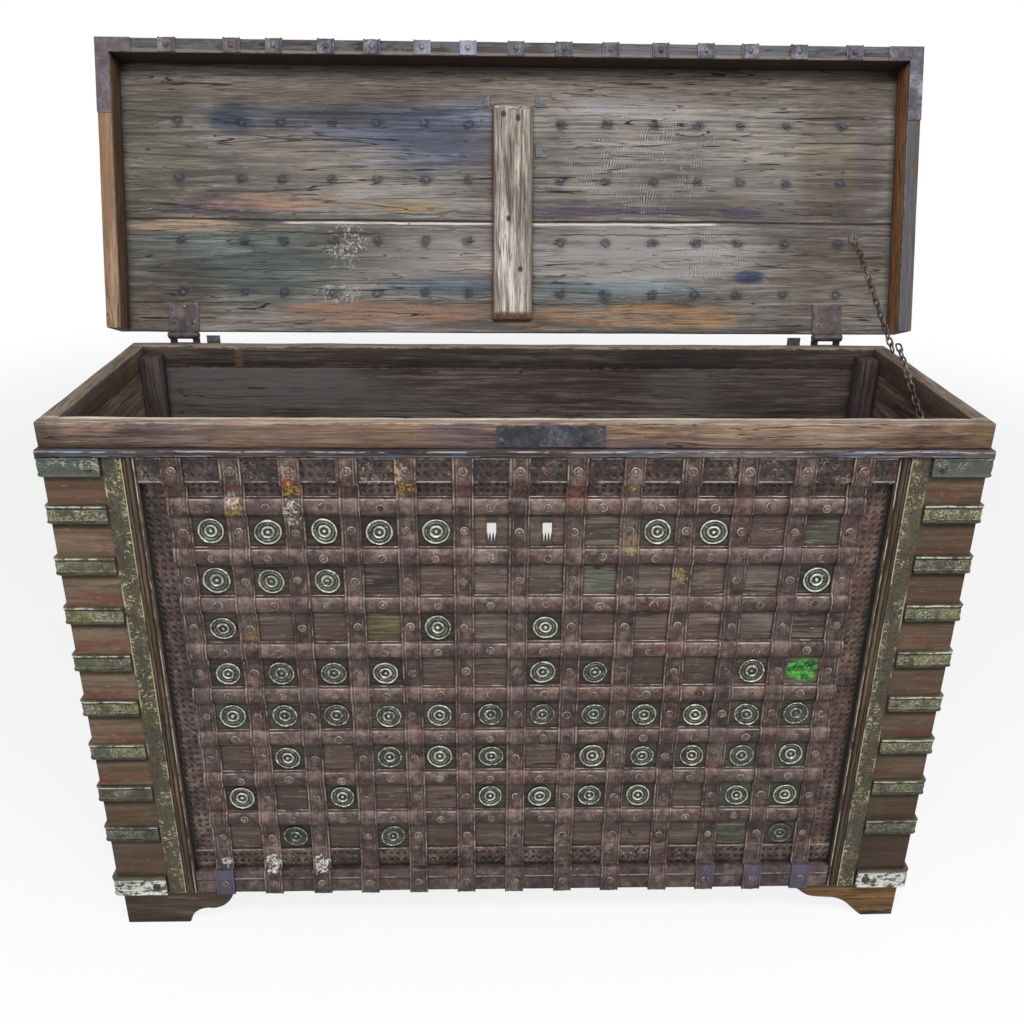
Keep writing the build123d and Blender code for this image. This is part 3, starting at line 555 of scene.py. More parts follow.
def copied(node):
    """A CAD node's shape as clean faces, to be worked on."""
    piece = second(nodes[node])
    piece.name = node + "_worn"
    piece.parent = None
    only(piece)
    bpy.ops.mesh.customdata_custom_splitnormals_clear()
    bpy.ops.object.mode_set(mode="EDIT")
    bpy.ops.mesh.select_all(action="SELECT")
    bpy.ops.mesh.remove_doubles(threshold=0.00002)
    bpy.ops.mesh.dissolve_limited(angle_limit=math.radians(1.5))
    bpy.ops.object.mode_set(mode="OBJECT")
    return piece


def sliced(piece, axis, pitch=0.0, places=()):
    """Cut right across, at given places or at an even pitch, so that edges can wander."""
    only(piece)
    if pitch:
        low = min(v.co[axis] for v in piece.data.vertices)
        high = max(v.co[axis] for v in piece.data.vertices)
        count = int((high - low) / pitch)
        places = [low + (high - low) * step / count for step in range(1, count)]
    normal = [0, 0, 0]
    normal[axis] = 1
    bpy.ops.object.mode_set(mode="EDIT")
    for spot in places:
        place = [0, 0, 0]
        place[axis] = spot
        bpy.ops.mesh.select_all(action="SELECT")
        bpy.ops.mesh.bisect(plane_co=place, plane_no=normal, use_fill=False)
    bpy.ops.object.mode_set(mode="OBJECT")


def dressed(piece, body, material, node):
    """Give a finished piece its material, its body and the node that it stands for.

    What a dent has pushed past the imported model's box is brought back to it.
    """
    for vert in piece.data.vertices:
        vert.co = [min(max(value, low), high)
                   for value, low, high in zip(vert.co, *cad_box)]
    piece.data.materials.clear()
    piece.data.materials.append(finish[material])
    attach(piece, body)
    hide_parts(node)


def worn_copy(node, body, material, bevel, cuts, dents):
    """A board or plate with eased edges and a hand-worked surface."""
    piece = copied(node)
    for axis, pitch in cuts:
        sliced(piece, axis, pitch)
    worked(piece, "BEVEL", width=bevel / 1000, segments=2, limit_method="ANGLE",
           angle_limit=math.radians(35), harden_normals=False)
    dented(piece, dents, 0.07)
    smooth(piece)
    dressed(piece, body, material, node)


def swept(name, section, path):
    """A strip: one edge is shaped to the section, then pulled out step by step.

    section is a list of places, path a list of moves. A longer move is a turn: the angle
    in degrees clockwise, its centre, and X where it isn't about the upright axis.
    """
    calm()
    bpy.ops.mesh.primitive_plane_add(size=0.02, location=(0, 0, 0))
    piece = bpy.context.object
    piece.name = name
    bpy.ops.object.mode_set(mode="EDIT")
    shape = bmesh.from_edit_mesh(piece.data)
    bpy.ops.mesh.select_all(action="DESELECT")
    for vert in shape.verts:
        vert.select = vert.co.y > 0
    shape.select_flush(True)
    bpy.ops.mesh.delete(type="VERT")
    bpy.ops.mesh.select_all(action="SELECT")
    bpy.ops.mesh.subdivide(number_cuts=len(section) - 2)
    shape = bmesh.from_edit_mesh(piece.data)
    for vert, place in zip(sorted(shape.verts, key=lambda v: v.co.x), section):
        vert.co = place
    bmesh.update_edit_mesh(piece.data)
    for move in path:
        if len(move) > 3:
            bpy.ops.mesh.spin(steps=6, angle=math.radians(move[0]), center=move[1:4],
                              axis=(1, 0, 0) if "X" in move else (0, 0, 1))
        else:
            bpy.ops.mesh.extrude_region_move(TRANSFORM_OT_translate={"value": move})
    bpy.ops.object.mode_set(mode="OBJECT")
    return piece


def pulled(x, y, z, count):
    """A straight pull of so many millimetres, in even steps."""
    return [(x / (count * 1000), y / (count * 1000), z / (count * 1000))] * count


def facing_out(piece, outward):
    """Turn a sheet's faces to the side that outward points to."""
    only(piece)
    bpy.ops.object.mode_set(mode="EDIT")
    bpy.ops.mesh.select_all(action="SELECT")
    bpy.ops.mesh.remove_doubles(threshold=0.00001)
    bpy.ops.mesh.normals_make_consistent(inside=False)
    bpy.ops.object.mode_set(mode="OBJECT")
    total = sum((p.normal * p.area for p in piece.data.polygons), Vector())
    if total.dot(Vector(outward)) < 0:
        bpy.ops.object.mode_set(mode="EDIT")
        bpy.ops.mesh.select_all(action="SELECT")
        bpy.ops.mesh.flip_normals()
        bpy.ops.object.mode_set(mode="OBJECT")


def thick(piece, thickness, outward):
    """Give a sheet its wall, inwards from the face that is seen."""
    facing_out(piece, outward)
    worked(piece, "SOLIDIFY", thickness=thickness / 1000, offset=-1.0,
           use_even_offset=False)


def many(name, one, places):
    """Copies of one small piece at all its places, kept together as one piece."""
    copies = []
    for place in places:
        copies.append(second(one))
        copies[-1].data.transform(place)
    bpy.data.objects.remove(one)
    return joined(name, *copies)


def turned_disc(name, rings, sides):
    """A turned disc lying in XY: rings of (radius, height) from the rim to the middle."""
    calm()
    bpy.ops.mesh.primitive_circle_add(vertices=sides, radius=rings[0][0] / 1000,
                                      fill_type="NGON", location=(0, 0, 0))
    disc = bpy.context.object
    disc.name = name
    bpy.ops.object.mode_set(mode="EDIT")
    bpy.ops.mesh.select_all(action="SELECT")
    radius, height = rings[0]
    for next_radius, next_height in rings[1:]:
        rise = (next_height - height) / 1000
        bpy.ops.mesh.extrude_region_move(TRANSFORM_OT_translate={"value": (0, 0, rise)})
        if next_radius != radius:
            share = next_radius / radius
            bpy.ops.transform.resize(value=(share, share, 1), center_override=(0, 0, 0))
        radius, height = next_radius, next_height
    bpy.ops.mesh.select_all(action="SELECT")
    bpy.ops.mesh.normals_make_consistent(inside=False)
    bpy.ops.object.mode_set(mode="OBJECT")
    return disc


def both_ways(half, middle):
    """A profile that is the same on both sides of its middle."""
    return [*half, middle, *((-across, relief) for across, relief in half[::-1])]


def to_front(x, y, z, spin=0.0, lean=(0.0, 0.0), size=1.0):
    """Stand a disc's crown to the front at a place."""
    return (Matrix.Translation(at(x, y, z)) @ Matrix.Rotation(math.pi / 2, 4, "X")
            @ Matrix.Rotation(lean[0], 4, "X") @ Matrix.Rotation(lean[1], 4, "Y")
            @ Matrix.Rotation(spin, 4, "Z") @ Matrix.Scale(size, 4))


# ------------------------------------------------------------------ finishes for the pieces
def nail_stains(f):
    """Metres to the nearest nail that comes through the lid, a little ragged."""
    near = None
    for x in LID_STRAP_XS:
        across = abs(f.x - x / 1000)
        near = across if near is None else near.least(across)
    up = None
    for reach in LID_NAIL_ROWS:
        row = abs(f.y - at(0, HINGE_Y - reach, 0).y)
        up = row if up is None else up.least(row)
    far = (near * near + up * up * 1.5) ** 0.5
    return far + f.waver(0.02, 80, 3, 0.65)


# stains on the underside of the lid: x, distance from the hinge, width, height, their
# colour, how much they tint, and how much they darken (or lighten, below 0)
LID_STAINS = (
    (-175, 360, 320, 120, "5b6178", 0.85, 0.12),
    (-420, 388, 280, 44, "4c505c", 0.6, 0.22),
    (-507, 384, 76, 46, "414a63", 0.7, 0.30),
    (-330, 310, 330, 80, "857b66", 0.45, -0.08),
    (-640, 290, 150, 300, "62604f", 0.5, 0.25),
    (-510, 130, 380, 150, "5b6462", 0.75, 0.20),
    (-530, 232, 210, 34, "5c4852", 0.6, 0.30),
    (-120, 150, 260, 90, "94877c", 0.5, -0.22),
    (-110, 92, 220, 36, "4f6072", 0.6, 0.02),
    (-640, 60, 190, 150, "574c42", 0.6, 0.35),
    # from here, the right half: the patches that lighten it are partly painted light, making the
    # right of the lid lighter
    (200, 418, 230, 26, "9a94ac", 0.6, -0.3),
    (170, 228, 320, 24, "60505f", 0.75, 0.22),
    (425, 226, 90, 22, "493a5e", 0.75, 0.35),
    (230, 150, 420, 120, "8b8e90", 0.5, -0.36),
    (180, 86, 320, 40, "56666e", 0.7, -0.08),
    (440, 110, 50, 26, "3f4a70", 0.8, 0.35),
    (470, 300, 260, 150, "857f72", 0.4, -0.08),
    (600, 330, 150, 260, "6d6352", 0.6, 0.34),
    (655, 330, 44, 200, "5a4858", 0.35, 0.08),
    (590, 110, 200, 170, "726758", 0.5, 0.1))
# paler wood where the surface has split away, laid on solid
LID_PALE = (
    (-590, 198, 220, 24, "b39a84", 0.85), (-405, 240, 230, 30, "b08a70", 0.6),
    (-205, 234, 150, 22, "a8945f", 0.7), (-230, 42, 420, 46, "a67c64", 0.75),
    (230, 37, 440, 42, "b68a60", 0.8), (420, 244, 60, 10, "ab8459", 0.6))
# fine chisel marks: x, distance from the hinge, width, height
LID_CHISELLED = ((260, 320, 190, 190), (335, 155, 170, 110), (150, 300, 90, 120))


def lid_marks(f, colour, fibre):
    """Stains, the open joint, nail marks and scratches on the underside of the lid, a painted
    shadow along its head under the front skirt, and lightened patches on the right that are
    partly painted light.
    """
    upper = f.coat(f.blotch(0.45, 0.6, (3, 9, 3), 4, 0.65, (2, 7, 7)) * 0.5, colour, fibre,
                   "2c241f", "6c5d50")
    for x, reach, wide, high, tint, share, darken in LID_STAINS:
        mask = f.patch(x, reach, wide, high, 0.4, lid_reach=reach, soft=0.85)
        colour = f.mix(mask * share, colour, tint, "COLOR")
        if darken:
            shade = "241d1b" if darken > 0 else "c4c0bb"
            colour = f.mix(mask * abs(darken), colour, shade)
    worn = f.step(f.cloud((7, 150, 7), 4, 0.7, (6, 3, 1)), 0.38, 0.56, 0.35, 1.0)
    for x, reach, wide, high, pale, share in LID_PALE:
        mask = f.patch(x, reach, wide, high, 0.6, lid_reach=reach, soft=0.8)
        colour = f.coat(mask * worn * share, colour, f.step(fibre, 0.3, 0.6), "66503f", pale)
    # painted shadow cast by the front skirt along the head of the lid
    head = at(0, HINGE_Y - 412, 0).y
    shade = f.step(f.y, head + 0.006, head - 0.010)
    colour = f.coat(shade * 0.5, colour, f.step(fibre, 0.36, 0.64), "40352d", "7d6f61")
    hatch = ((f.x + f.y * 0.18) * 1350 + f.cloud(30, 3, 0.6, (1, 1, 4)) * 14).sine()
    struck = f.blotch(0.4, 0.62, (60, 70, 1), 3, 0.7, (4, 4, 4))
    for x, reach, wide, high in LID_CHISELLED:
        mask = f.patch(x, reach, wide, high, 0.6, lid_reach=reach, soft=0.5)
        mask = mask * f.blotch(0.44, 0.56, (30, 12, 1), 4, 0.7, (x * 0.01, 1, 1))
        mask = mask * struck
        colour = f.mix(mask * f.step(hatch, 0.3, 0.9) * 0.5, colour, "cfc9c0")
        colour = f.mix(mask * f.step(hatch, -0.3, -0.9) * 0.5, colour, "2b2623")
    scratch = f.cloud((26, 340, 1), 4, 0.7, (3, 1, 0), 0.3)
    area = f.blotch(0.46, 0.6, (3, 8, 1), 4, 0.6, (1, 2, 3))
    colour = f.mix(f.step(scratch, 0.6, 0.67) * area * 0.5, colour, "bdb6aa")
    gouge = f.cloud((45, 30, 1), 3, 0.65, (8, 8, 8), 1.6)
    gouge = f.step(abs(gouge - 0.5), 0.016, 0.007)
    area = f.patch(-305, 0, 74, 80, 0.5, 160, 0.5).most(f.patch(-320, 0, 80, 40, 0.5, 76, 0.5))
    colour = f.mix(gouge * area * 0.85, colour, "d8d3cb")
    seam = at(0, HINGE_Y - 205, 0).y
    off = f.y - seam + f.waver(0.008, (4, 0.1, 0.1), 4)
    line = f.line(off, 0.001, 0.0016, 0.0008) * f.step(abs(f.x + 0.02), 0.41, 0.38)
    under = f.line(off, -0.0035, 0.0016, 0.0012)
    colour = f.mix(under * 0.85, colour, "1e1618")
    colour = f.mix(line * 0.85, colour, "ddcdc2")
    for place, rise in ((0.396, 0.003), (0.352, 0.003), (0.120, 0.005), (0.186, 0.003),
                        (0.222, 0.005), (0.060, 0.002)):
        crack = f.y - at(0, HINGE_Y - place * 1000, 0).y
        crack = crack + (f.cloud((9, 0.1, 0.1), 5, 0.7, (place * 30, 0, 0)) - 0.5) * rise * 6
        crack = f.line(crack, 0, 0.0006, 0.0008)
        crack = crack * f.blotch(0.47, 0.54, (3, 1, 1), 3, 0.5, (place * 90, 2, 2))
        colour = f.mix(crack * 0.85, colour, "19120f")
    mark = nail_stains(f)
    colour = f.mix(f.step(mark, 0.02, 0.006) * 0.4, colour, "363a46")
    colour = f.mix(f.step(mark, 0.0085, 0.0055) * 0.5, colour, "1d1e27")
    colour = f.mix(f.line(mark, 0.0085, 0.0006, 0.0012) * 0.6, colour, "15121a")
    return f.mix(f.step(f.z, 0.970, 0.974), colour, upper)


def batten_marks(f, colour, fibre):
    """Red-brown down the left arris and over the cut foot; two old nail pits at the head."""
    left = f.step(f.x, -0.0315, -0.0345)
    foot = f.step(f.y, at(0, HINGE_Y - 46, 0).y, at(0, HINGE_Y - 40, 0).y)
    colour = f.coat(left.most(foot) * 0.8, colour, fibre, "3a2018", "86543a")
    right = f.step(f.x, 0.024, 0.034)
    colour = f.coat(right * 0.6, colour, fibre, "463c34", "837667")
    for x, reach in ((-17, 392), (9, 386), (14, 120), (-8, 210)):
        colour = f.mix(f.patch(x, reach, 9, 11, 0.3, reach, 0.2) * 0.85, colour, "1e1614")
    return colour


def lid_iron_marks(f, colour, grain):
    """The lid iron has a painted blue sheen, bright towards the middle, and is brown at the
    left.
    """
    drift = f.waver(0.3, 7, 3, 0.6, (3, 3, 3))
    # painted bluish sheen, brightest towards the middle
    blue = f.line(abs(f.x + 0.115 + drift), 0, 0.05, 0.09) * f.step(f.z, 0.990, 0.984)
    colour = f.coat(blue * 0.6, colour, grain, "5a6076", "b4b9ca")
    brown = f.step(f.x + drift, -0.36, -0.5)
    return f.coat(brown * 0.5, colour, grain, "2e2320", "6d5c57")


def lid_edge_marks(f, colour, fibre):
    """Side skirts: golden brown inside, weathered along the edge that meets the lip."""
    deep = f.step(f.z, 0.9095, 0.918)
    inner = f.step(abs(f.x), 0.712, 0.706)
    right = f.step(f.x, -0.1, 0.1)
    gold = f.mix(right, "5e4226", "b57c44")
    outer = deep * (1 - inner)
    colour = f.coat(outer * 0.75, colour, fibre, "2a2320", "75675c")
    colour = f.coat(deep * inner * 0.85, colour, f.step(fibre, 0.35, 0.65), "2d1e14", gold)
    sole = f.step(deep, 0.6, 0.3)
    brown = f.blotch(0.52, 0.66, (30, 12, 30), 4, 0.7, (5, 2, 1))
    slate = f.mix(brown, f.mix(fibre, "2a2d34", "5c626c"), f.mix(fibre, "3a2a20", "6b513f"))
    colour = f.mix(sole * right * 0.85, colour, slate)
    return f.coat(sole * (1 - right) * 0.6, colour, fibre, "75573f", "b08c6a")


def lid_front_marks(f, colour, fibre):
    """Front skirt: painted shade nearly black inside, iron-stained edge with a paler inner
    arris.
    """
    deep = f.step(f.z, 0.909, 0.914)
    mottle = f.cloud((26, 60, 60), 4, 0.65, (2, 5, 1))
    colour = f.coat(f.step(mottle, 0.45, 0.6) * 0.8, colour, fibre, "3a4440", "6f7c7a")
    arris = f.line(f.y, at(0, -5.5, 0).y, 0.0024, 0.0016)
    colour = f.coat(arris * 0.7, colour, fibre, "6a5a50", "a08d80")
    # painted shade, nearly black, on the inner face
    inner = deep * f.step(f.y, at(0, -9, 0).y, at(0, -6, 0).y)
    return f.coat(inner * 0.92, colour, fibre, "1a0f0e", "33231f")


def rim_marks(f, colour, fibre):
    """Honey and violet stretches, a top rubbed and painted lighter, a painted highlight along
    the inner arris, dark ends.
    """
    honey = f.blotch(0.5, 0.66, (4, 20, 20), 3, 0.5, (2, 2, 2))
    honey = honey * f.step(f.x, 0.05, 0.30, 0.4, 1.0)
    colour = f.coat(honey * 0.6, colour, f.step(fibre, 0.35, 0.65), "5c4129", "b58f60")
    violet = f.blotch(0.52, 0.66, (5, 12, 14), 3, 0.5, (8, 1, 4))
    colour = f.coat(violet * 0.65, colour, fibre, "332a35", "6a5c6c")
    # the top: rubbed and painted lighter, partly a painted highlight
    top = f.step(f.z + f.waver(0.012, (50, 50, 50), 4, 0.7), 0.9405, 0.9425)
    colour = f.coat(top * 0.8, colour, f.step(fibre, 0.3, 0.7), "57463b", "bfae9c")
    # painted highlight along the inner arris
    arris = f.line(f.y, RIM_IN - 0.004, 0.006, 0.003) * top
    colour = f.coat(arris * 0.8, colour, f.step(fibre, 0.3, 0.6), "a8957f", "fbf0e0")
    end = f.step(abs(f.x), 0.655, 0.672)
    worn = f.step(f.cloud((20, 5, 20), 4, 0.65, (3, 6, 3)), 0.40, 0.6, 0.45, 0.75)
    colour = f.coat(end * worn, colour, fibre, "2a211b", "625042")
    cool = f.step(f.x, 0.45, 0.62) * (1 - end)
    colour = f.mix(cool * 0.3, colour, "3a2d25")
    pale = f.line(f.x, -0.28, 0.14, 0.08) + f.line(f.x, 0.42, 0.12, 0.06)
    return f.coat(pale * 0.3, colour, fibre, "6a5344", "c3a98c")


def rim_rear_marks(f, colour, fibre):
    """A top rubbed and painted lighter, nearly black inner face with one rusty run."""
    top = f.step(f.z + f.waver(0.012, (50, 50, 50), 4, 0.7), 0.9405, 0.9425)
    colour = f.mix((1 - top) * 0.45, colour, "1b1718")
    run = f.patch(-503, 925, 13, 70, 0.35, soft=0.6) * (1 - top)
    colour = f.coat(run * 0.5, colour, fibre, "3a2a1c", "8d6a41")
    # the top: rubbed and painted lighter, partly a painted highlight
    return f.coat(top * 0.7, colour, f.step(fibre, 0.3, 0.7), "54453a", "b09e8c")


def lip_lines(f, colour, fibre):
    """Two arrises on the lip, rubbed and painted light, blue and green drifts between them."""
    drift = f.cloud((7, 7, 30), 4, 0.65, (4, 6, 1))
    colour = f.coat(f.step(drift, 0.52, 0.64) * 0.6, colour, fibre, "232f3c", "5d7182")
    colour = f.coat(f.step(drift, 0.44, 0.36) * 0.6, colour, fibre, "2a1f1d", "6b5550")
    worn = f.blotch(0.45, 0.54, (14, 60, 60), 5, 0.75, (1, 4, 2))
    wave = f.waver(0.004, (9, 1, 1), 3, 0.6)
    upper = f.line(f.z + wave, 0.9015, 0.0006, 0.0008)
    lower = f.line(f.z + wave, 0.8945, 0.0005, 0.0008) * 0.8
    colour = f.mix(f.line(f.z + wave, 0.8925, 0.0008, 0.0008) * 0.8, colour, "150f10")
    # the arrises: rubbed pale, partly a painted highlight
    return f.mix(upper.most(lower) * worn * 0.6, colour, "c4bdc0")


def stile_marks(f, colour, fibre):
    """Smudged red and olive paint between the corner bands, darker low and right, a painted
    shadow under each band and painted shade on the inner face.
    """
    up = f.near(f.z, BAND_PITCH, BAND_TOP)
    smudge = f.cloud((26, 26, 50), 5, 0.75, (3, 3, 3))
    red = f.step(smudge, 0.44, 0.6) * f.step(abs(up - 24), 26, 8)
    colour = f.coat(red * 0.72, colour, fibre, "4a2620", "8f5547")
    olive = f.step(f.cloud((30, 30, 40), 5, 0.7, (5, 1, 3)) - abs(f.x) * 3 + 1.87, 0.5, 0.62)
    colour = f.coat(olive * 0.5, colour, fibre, "33311f", "6d6649")
    scuff = f.blotch(0.58, 0.65, (60, 60, 190), 4, 0.75, (9, 3, 3))
    colour = f.mix(scuff * 0.4, colour, "a58f7e")
    # painted shadow just under each corner band
    colour = f.mix(f.step(up, -14, -18) * f.step(up, -30, -18) * 0.7, colour, "1c1412")
    shade = f.step(f.z, 0.42, 0.14) * 0.40 + f.step(f.x, -0.1, 0.1) * 0.34
    colour = f.coat(shade, colour, fibre, "17120e", "3d3124")
    # painted shade on the inner face
    inner = f.step(abs(f.x), 0.5632, 0.5624)
    return f.mix(inner * 0.9, colour, "10161a")


# flakes of paint on the upright straps: x, z, width, height and colour
PAINT_FLAKES = (
    (-427, 806, 34, 24, "9c8540"), (-345, 838, 36, 28, "d0a63e"), (-345, 868, 24, 24, "c09a82"),
    (-351, 854, 30, 10, "8c2a2a"), (-345, 800, 30, 40, "c9bfae"), (-431, 840, 26, 18, "7e3c30"),
    (-431, 820, 20, 26, "c0b4a4"), (-258, 840, 26, 18, "7e4a34"), (-173, 840, 30, 24, "dda038"),
    (-186, 868, 28, 30, "b9a67c"), (-363, 866, 9, 13, "43cabb"), (-86, 840, 26, 16, "7c2630"),
    (0, 842, 26, 14, "a06030"), (86, 832, 34, 40, "85503a"), (172, 842, 14, 14, "e0b860"),
    (170, 745, 30, 26, "8a7a3a"), (-420, 590, 26, 26, "8c6a38"), (-507, 134, 18, 16, "dedbd6"),
    (-425, 134, 24, 30, "f0eeea"), (-340, 132, 24, 30, "f0eeea"), (250, 690, 24, 26, "a09050"))


def flaked(f, colour):
    """Lay the flakes of paint over the straps."""
    for x, z, wide, high, code in PAINT_FLAKES:
        flakes = f.blotch(0.47, 0.53, 210, 3, 0.7, (x * 0.1, 3, z * 0.1))
        mask = f.patch(x, z, wide, high, 0.8) * flakes
        colour = f.mix(mask * 0.8, colour, code)
    return colour


def ground_scuffs(f, colour, fibre):
    """Short pale scuffs and a dark margin in a bare cell."""
    scuff = f.cloud((40, 40, 420), 4, 0.75, (5, 2, 5), 0.4)
    held = f.blotch(0.46, 0.6, 32, 4, 0.65, (3, 8, 3))
    colour = f.mix(f.step(scuff, 0.56, 0.64) * held * 0.55, colour, "b3a598")
    side = abs(f.near(f.x, PITCH_X, column_x(1)))
    up = abs(f.near(f.z, PITCH_Z, row_z(1)))
    margin = f.step(side, 23, 27).most(f.step(up, 23, 26))
    return f.mix(margin * 0.35, colour, "1c1513")


def green_patch(f, colour, fibre):
    """One cell still carries bright green, with ragged edges and pale specks."""
    green = f.patch(column_x(12), row_z(4), 52, 44, 0.5)
    leaf = f.mix(f.blotch(0.42, 0.6, 70, 4, 0.7, (3, 3, 1)), "1f5a20", "57b443")
    colour = f.mix(green, colour, leaf)
    speck = f.blotch(0.58, 0.64, 200, 3, 0.7, (1, 5, 1))
    return f.mix(green * speck * 0.6, colour, "a9d39a")


def crossing_light_and_wear(f, colour, grain, share):
    """Where the lattice rolls over a level strap: rubbed and painted lighter above, painted
    shade beneath.

    Gives the colour, and how far up from the middle of the strap a place is.
    """
    up = f.near(f.z, PITCH_Z, cross_z(0))
    within = f.step(f.z, 0.175, 0.19) * f.step(f.z, 0.832, 0.828)
    worn = f.blotch(0.42, 0.62, 50, 4, 0.7, (7, 7, 1))
    # upper part of the roll: rubbed and painted lighter, partly a painted highlight
    colour = f.coat(f.line(up, 9.5, 3.5, 3.5) * worn * share * within, colour, grain, "75625b",
                    "b09d95")
    # painted shade on the lower part of the roll
    return f.mix(f.step(up, -2, -13) * share * 0.9 * within, colour, "241a18"), up


def upright_paint_and_light(f, colour, grain):
    """Ribs rubbed pale and painted light, painted shade in the grooves beside them; violet on a
    few feet, and flakes of paint.
    """
    colour, up = crossing_light_and_wear(f, colour, grain, 0.35)
    side = abs(f.near(f.x, PITCH_X, upright_x(0)))
    worn = f.blotch(0.49, 0.57, (60, 60, 26), 5, 0.8, (1, 2, 3))
    # painted shade in the grooves beside the ribs
    groove = f.line(side, 11.7, 0.5, 0.7).most(f.line(side, 7.2, 0.3, 0.6) * 0.5)
    colour = f.mix(groove * 0.6, colour, "1b1311")
    # ribs rubbed pale, partly a painted highlight
    ridge = f.line(side, 14.3, 0.6, 0.8).most(f.line(side, 9.3, 0.4, 0.6) * 0.6)
    colour = f.coat(ridge * worn * 0.7, colour, grain, "8f8174", "cabfae")
    blue = f.blotch(0.4, 0.52, (5, 5, 5), 3, 0.6, (8, 2, 2)) * f.step(f.x, 0.31, 0.36)
    blue = blue.most(f.line(f.x, -0.511, 0.02, 0.01))
    foot = f.step(f.z, 0.128, 0.12) * (0.1 + blue * 0.75)
    return flaked(f, f.coat(foot, colour, grain, "2a2533", "6a6480"))


def level_light_and_wear(f, colour, grain):
    """A painted highlight on the upper edge and a painted shadow line where the half-round
    leaves its flange.
    """
    colour, up = crossing_light_and_wear(f, colour, grain, 0.4)
    worn = f.blotch(0.48, 0.57, (24, 60, 60), 5, 0.8, (4, 2, 3))
    # painted shadow lines where the half-round leaves its flanges
    gap = f.line(up, 13.4, 0.5, 0.6).most(f.line(up, -13.6, 0.7, 0.7))
    colour = f.mix(gap * 0.85, colour, "140e0d")
    # painted highlights along the edges, broken where worn
    edge = f.line(up, 15.4, 0.6, 0.6) + f.line(up, 11.6, 0.4, 0.6) * 0.7
    edge = edge + f.line(up, -10.5, 0.3, 0.6) * 0.5
    return f.coat(edge * worn * 0.8, colour, grain, "a0938a", "dcd3c9")


def rail_lines(f, colour, grain):
    """Bottom rail in sheet iron: a raised line with a painted highlight and a painted shadow
    below it, violet above.
    """
    worn = f.blotch(0.42, 0.56, (26, 90, 90), 4, 0.75, (3, 2, 3))
    hue = f.blotch(0.46, 0.6, (9, 9, 30), 4, 0.65, (7, 2, 4))
    violet = f.mix(f.step(f.x, 0.2, 0.4) * 0.7, "6a5d5c", "68607a")
    colour = f.coat(f.step(f.z, 0.1, 0.118) * hue * 0.5, colour, grain, "302830", violet)
    # painted highlight on the raised line
    colour = f.mix(f.line(f.z, 0.1045, 0.0009, 0.0009) * worn * 0.7, colour, "b3a79e")
    # painted shadow just under the raised line
    return f.mix(f.line(f.z, 0.1018, 0.001, 0.001) * 0.8, colour, "150f0e")


def dimples(x0, z0, pitch_x, pitch_z, size=0.34):
    """Rows of pressed dimples, as height: 0 on the flat, -1 in a dimple."""
    def press(f, grow=1.0):
        wander = f.waver(0.01, 55, 3, 0.6, (4, 4, 4))
        drop = f.waver(0.01, 55, 3, 0.6, (9, 1, 7))
        across = (f.x + wander - x0 / 1000) / (pitch_x / 1000) % 1 - 0.5
        along = (f.z + drop - z0 / 1000) / (pitch_z / 1000) % 1 - 0.5
        far = (across * across + along * along) ** 0.5 + f.waver(0.3, 150, 3, 0.6)
        return f.step(far, size * 0.45 * grow, size * grow, -1.0, 0.0)
    return press


def dimpled(name, press, dark="1f1615", middle="463731", light="7b695e", spread=None):
    """Sheet iron pressed with dimples, a painted highlight round each and painted shade within.
    """
    def shade(f, colour, grain):
        # painted highlight round each dimple, broken into patches
        ring = press(f, 1.35) * -1
        highlight_patches = f.blotch(0.52, 0.62, 90, 4, 0.75, (5, 5, 8))
        colour = f.coat(ring * highlight_patches * 0.6, colour, grain, "6d5f55", "b0a293")
        # painted shade within each dimple
        colour = f.mix(press(f) * -0.85, colour, "1c1413")
        return spread(f, colour, grain) if spread else colour
    return old_iron(name, dark, middle, light, extra=shade, rust_share=0.5,
                    height_extra=lambda f: press(f) * 2.2)


def border_lines(f, colour, grain):
    """Raised lines along the border plates with a painted highlight, most with a painted shadow
    beneath.
    """
    edge = f.line(f.z, 0.8895, 0.0009, 0.0007).most(f.line(f.z, 0.8535, 0.0009, 0.0007))
    edge = edge.most(f.line(f.z, 0.1575, 0.0008, 0.0007))
    worn = f.blotch(0.4, 0.55, (30, 90, 90), 4, 0.7)
    # painted highlight on the raised lines
    colour = f.mix(edge * worn * 0.8, colour, "b5a89c")
    # painted shadow under the raised lines
    under = f.line(f.z, 0.8872, 0.0009, 0.0008).most(f.line(f.z, 0.8512, 0.0009, 0.0008))
    colour = f.mix(under * 0.85, colour, "120c0b")
    scribble = f.line(f.cloud(90, 3, 0.6, (3, 6, 2), 1.8), 0.5, 0.012, 0.02)
    held = f.blotch(0.5, 0.6, 16, 4, 0.65, (6, 6, 2))
    return f.coat(scribble * held * 0.7, colour, grain, "8c8072", "cfc5b4")


def side_sheet_shadow(f, colour, grain):
    """Painted shadow along the stiles; redder towards the right."""
    red = f.step(f.x, 0.3, 0.54) * f.blotch(0.42, 0.6, 40, 4, 0.7, (2, 2, 9))
    colour = f.coat(red * 0.45, colour, grain, "3e251e", "86604f")
    # painted shadow along the stiles
    side = abs(f.x) * 1000 + f.waver(12, 50, 3)
    return f.mix(f.step(side, 554, 560) * 0.8, colour, "191613")


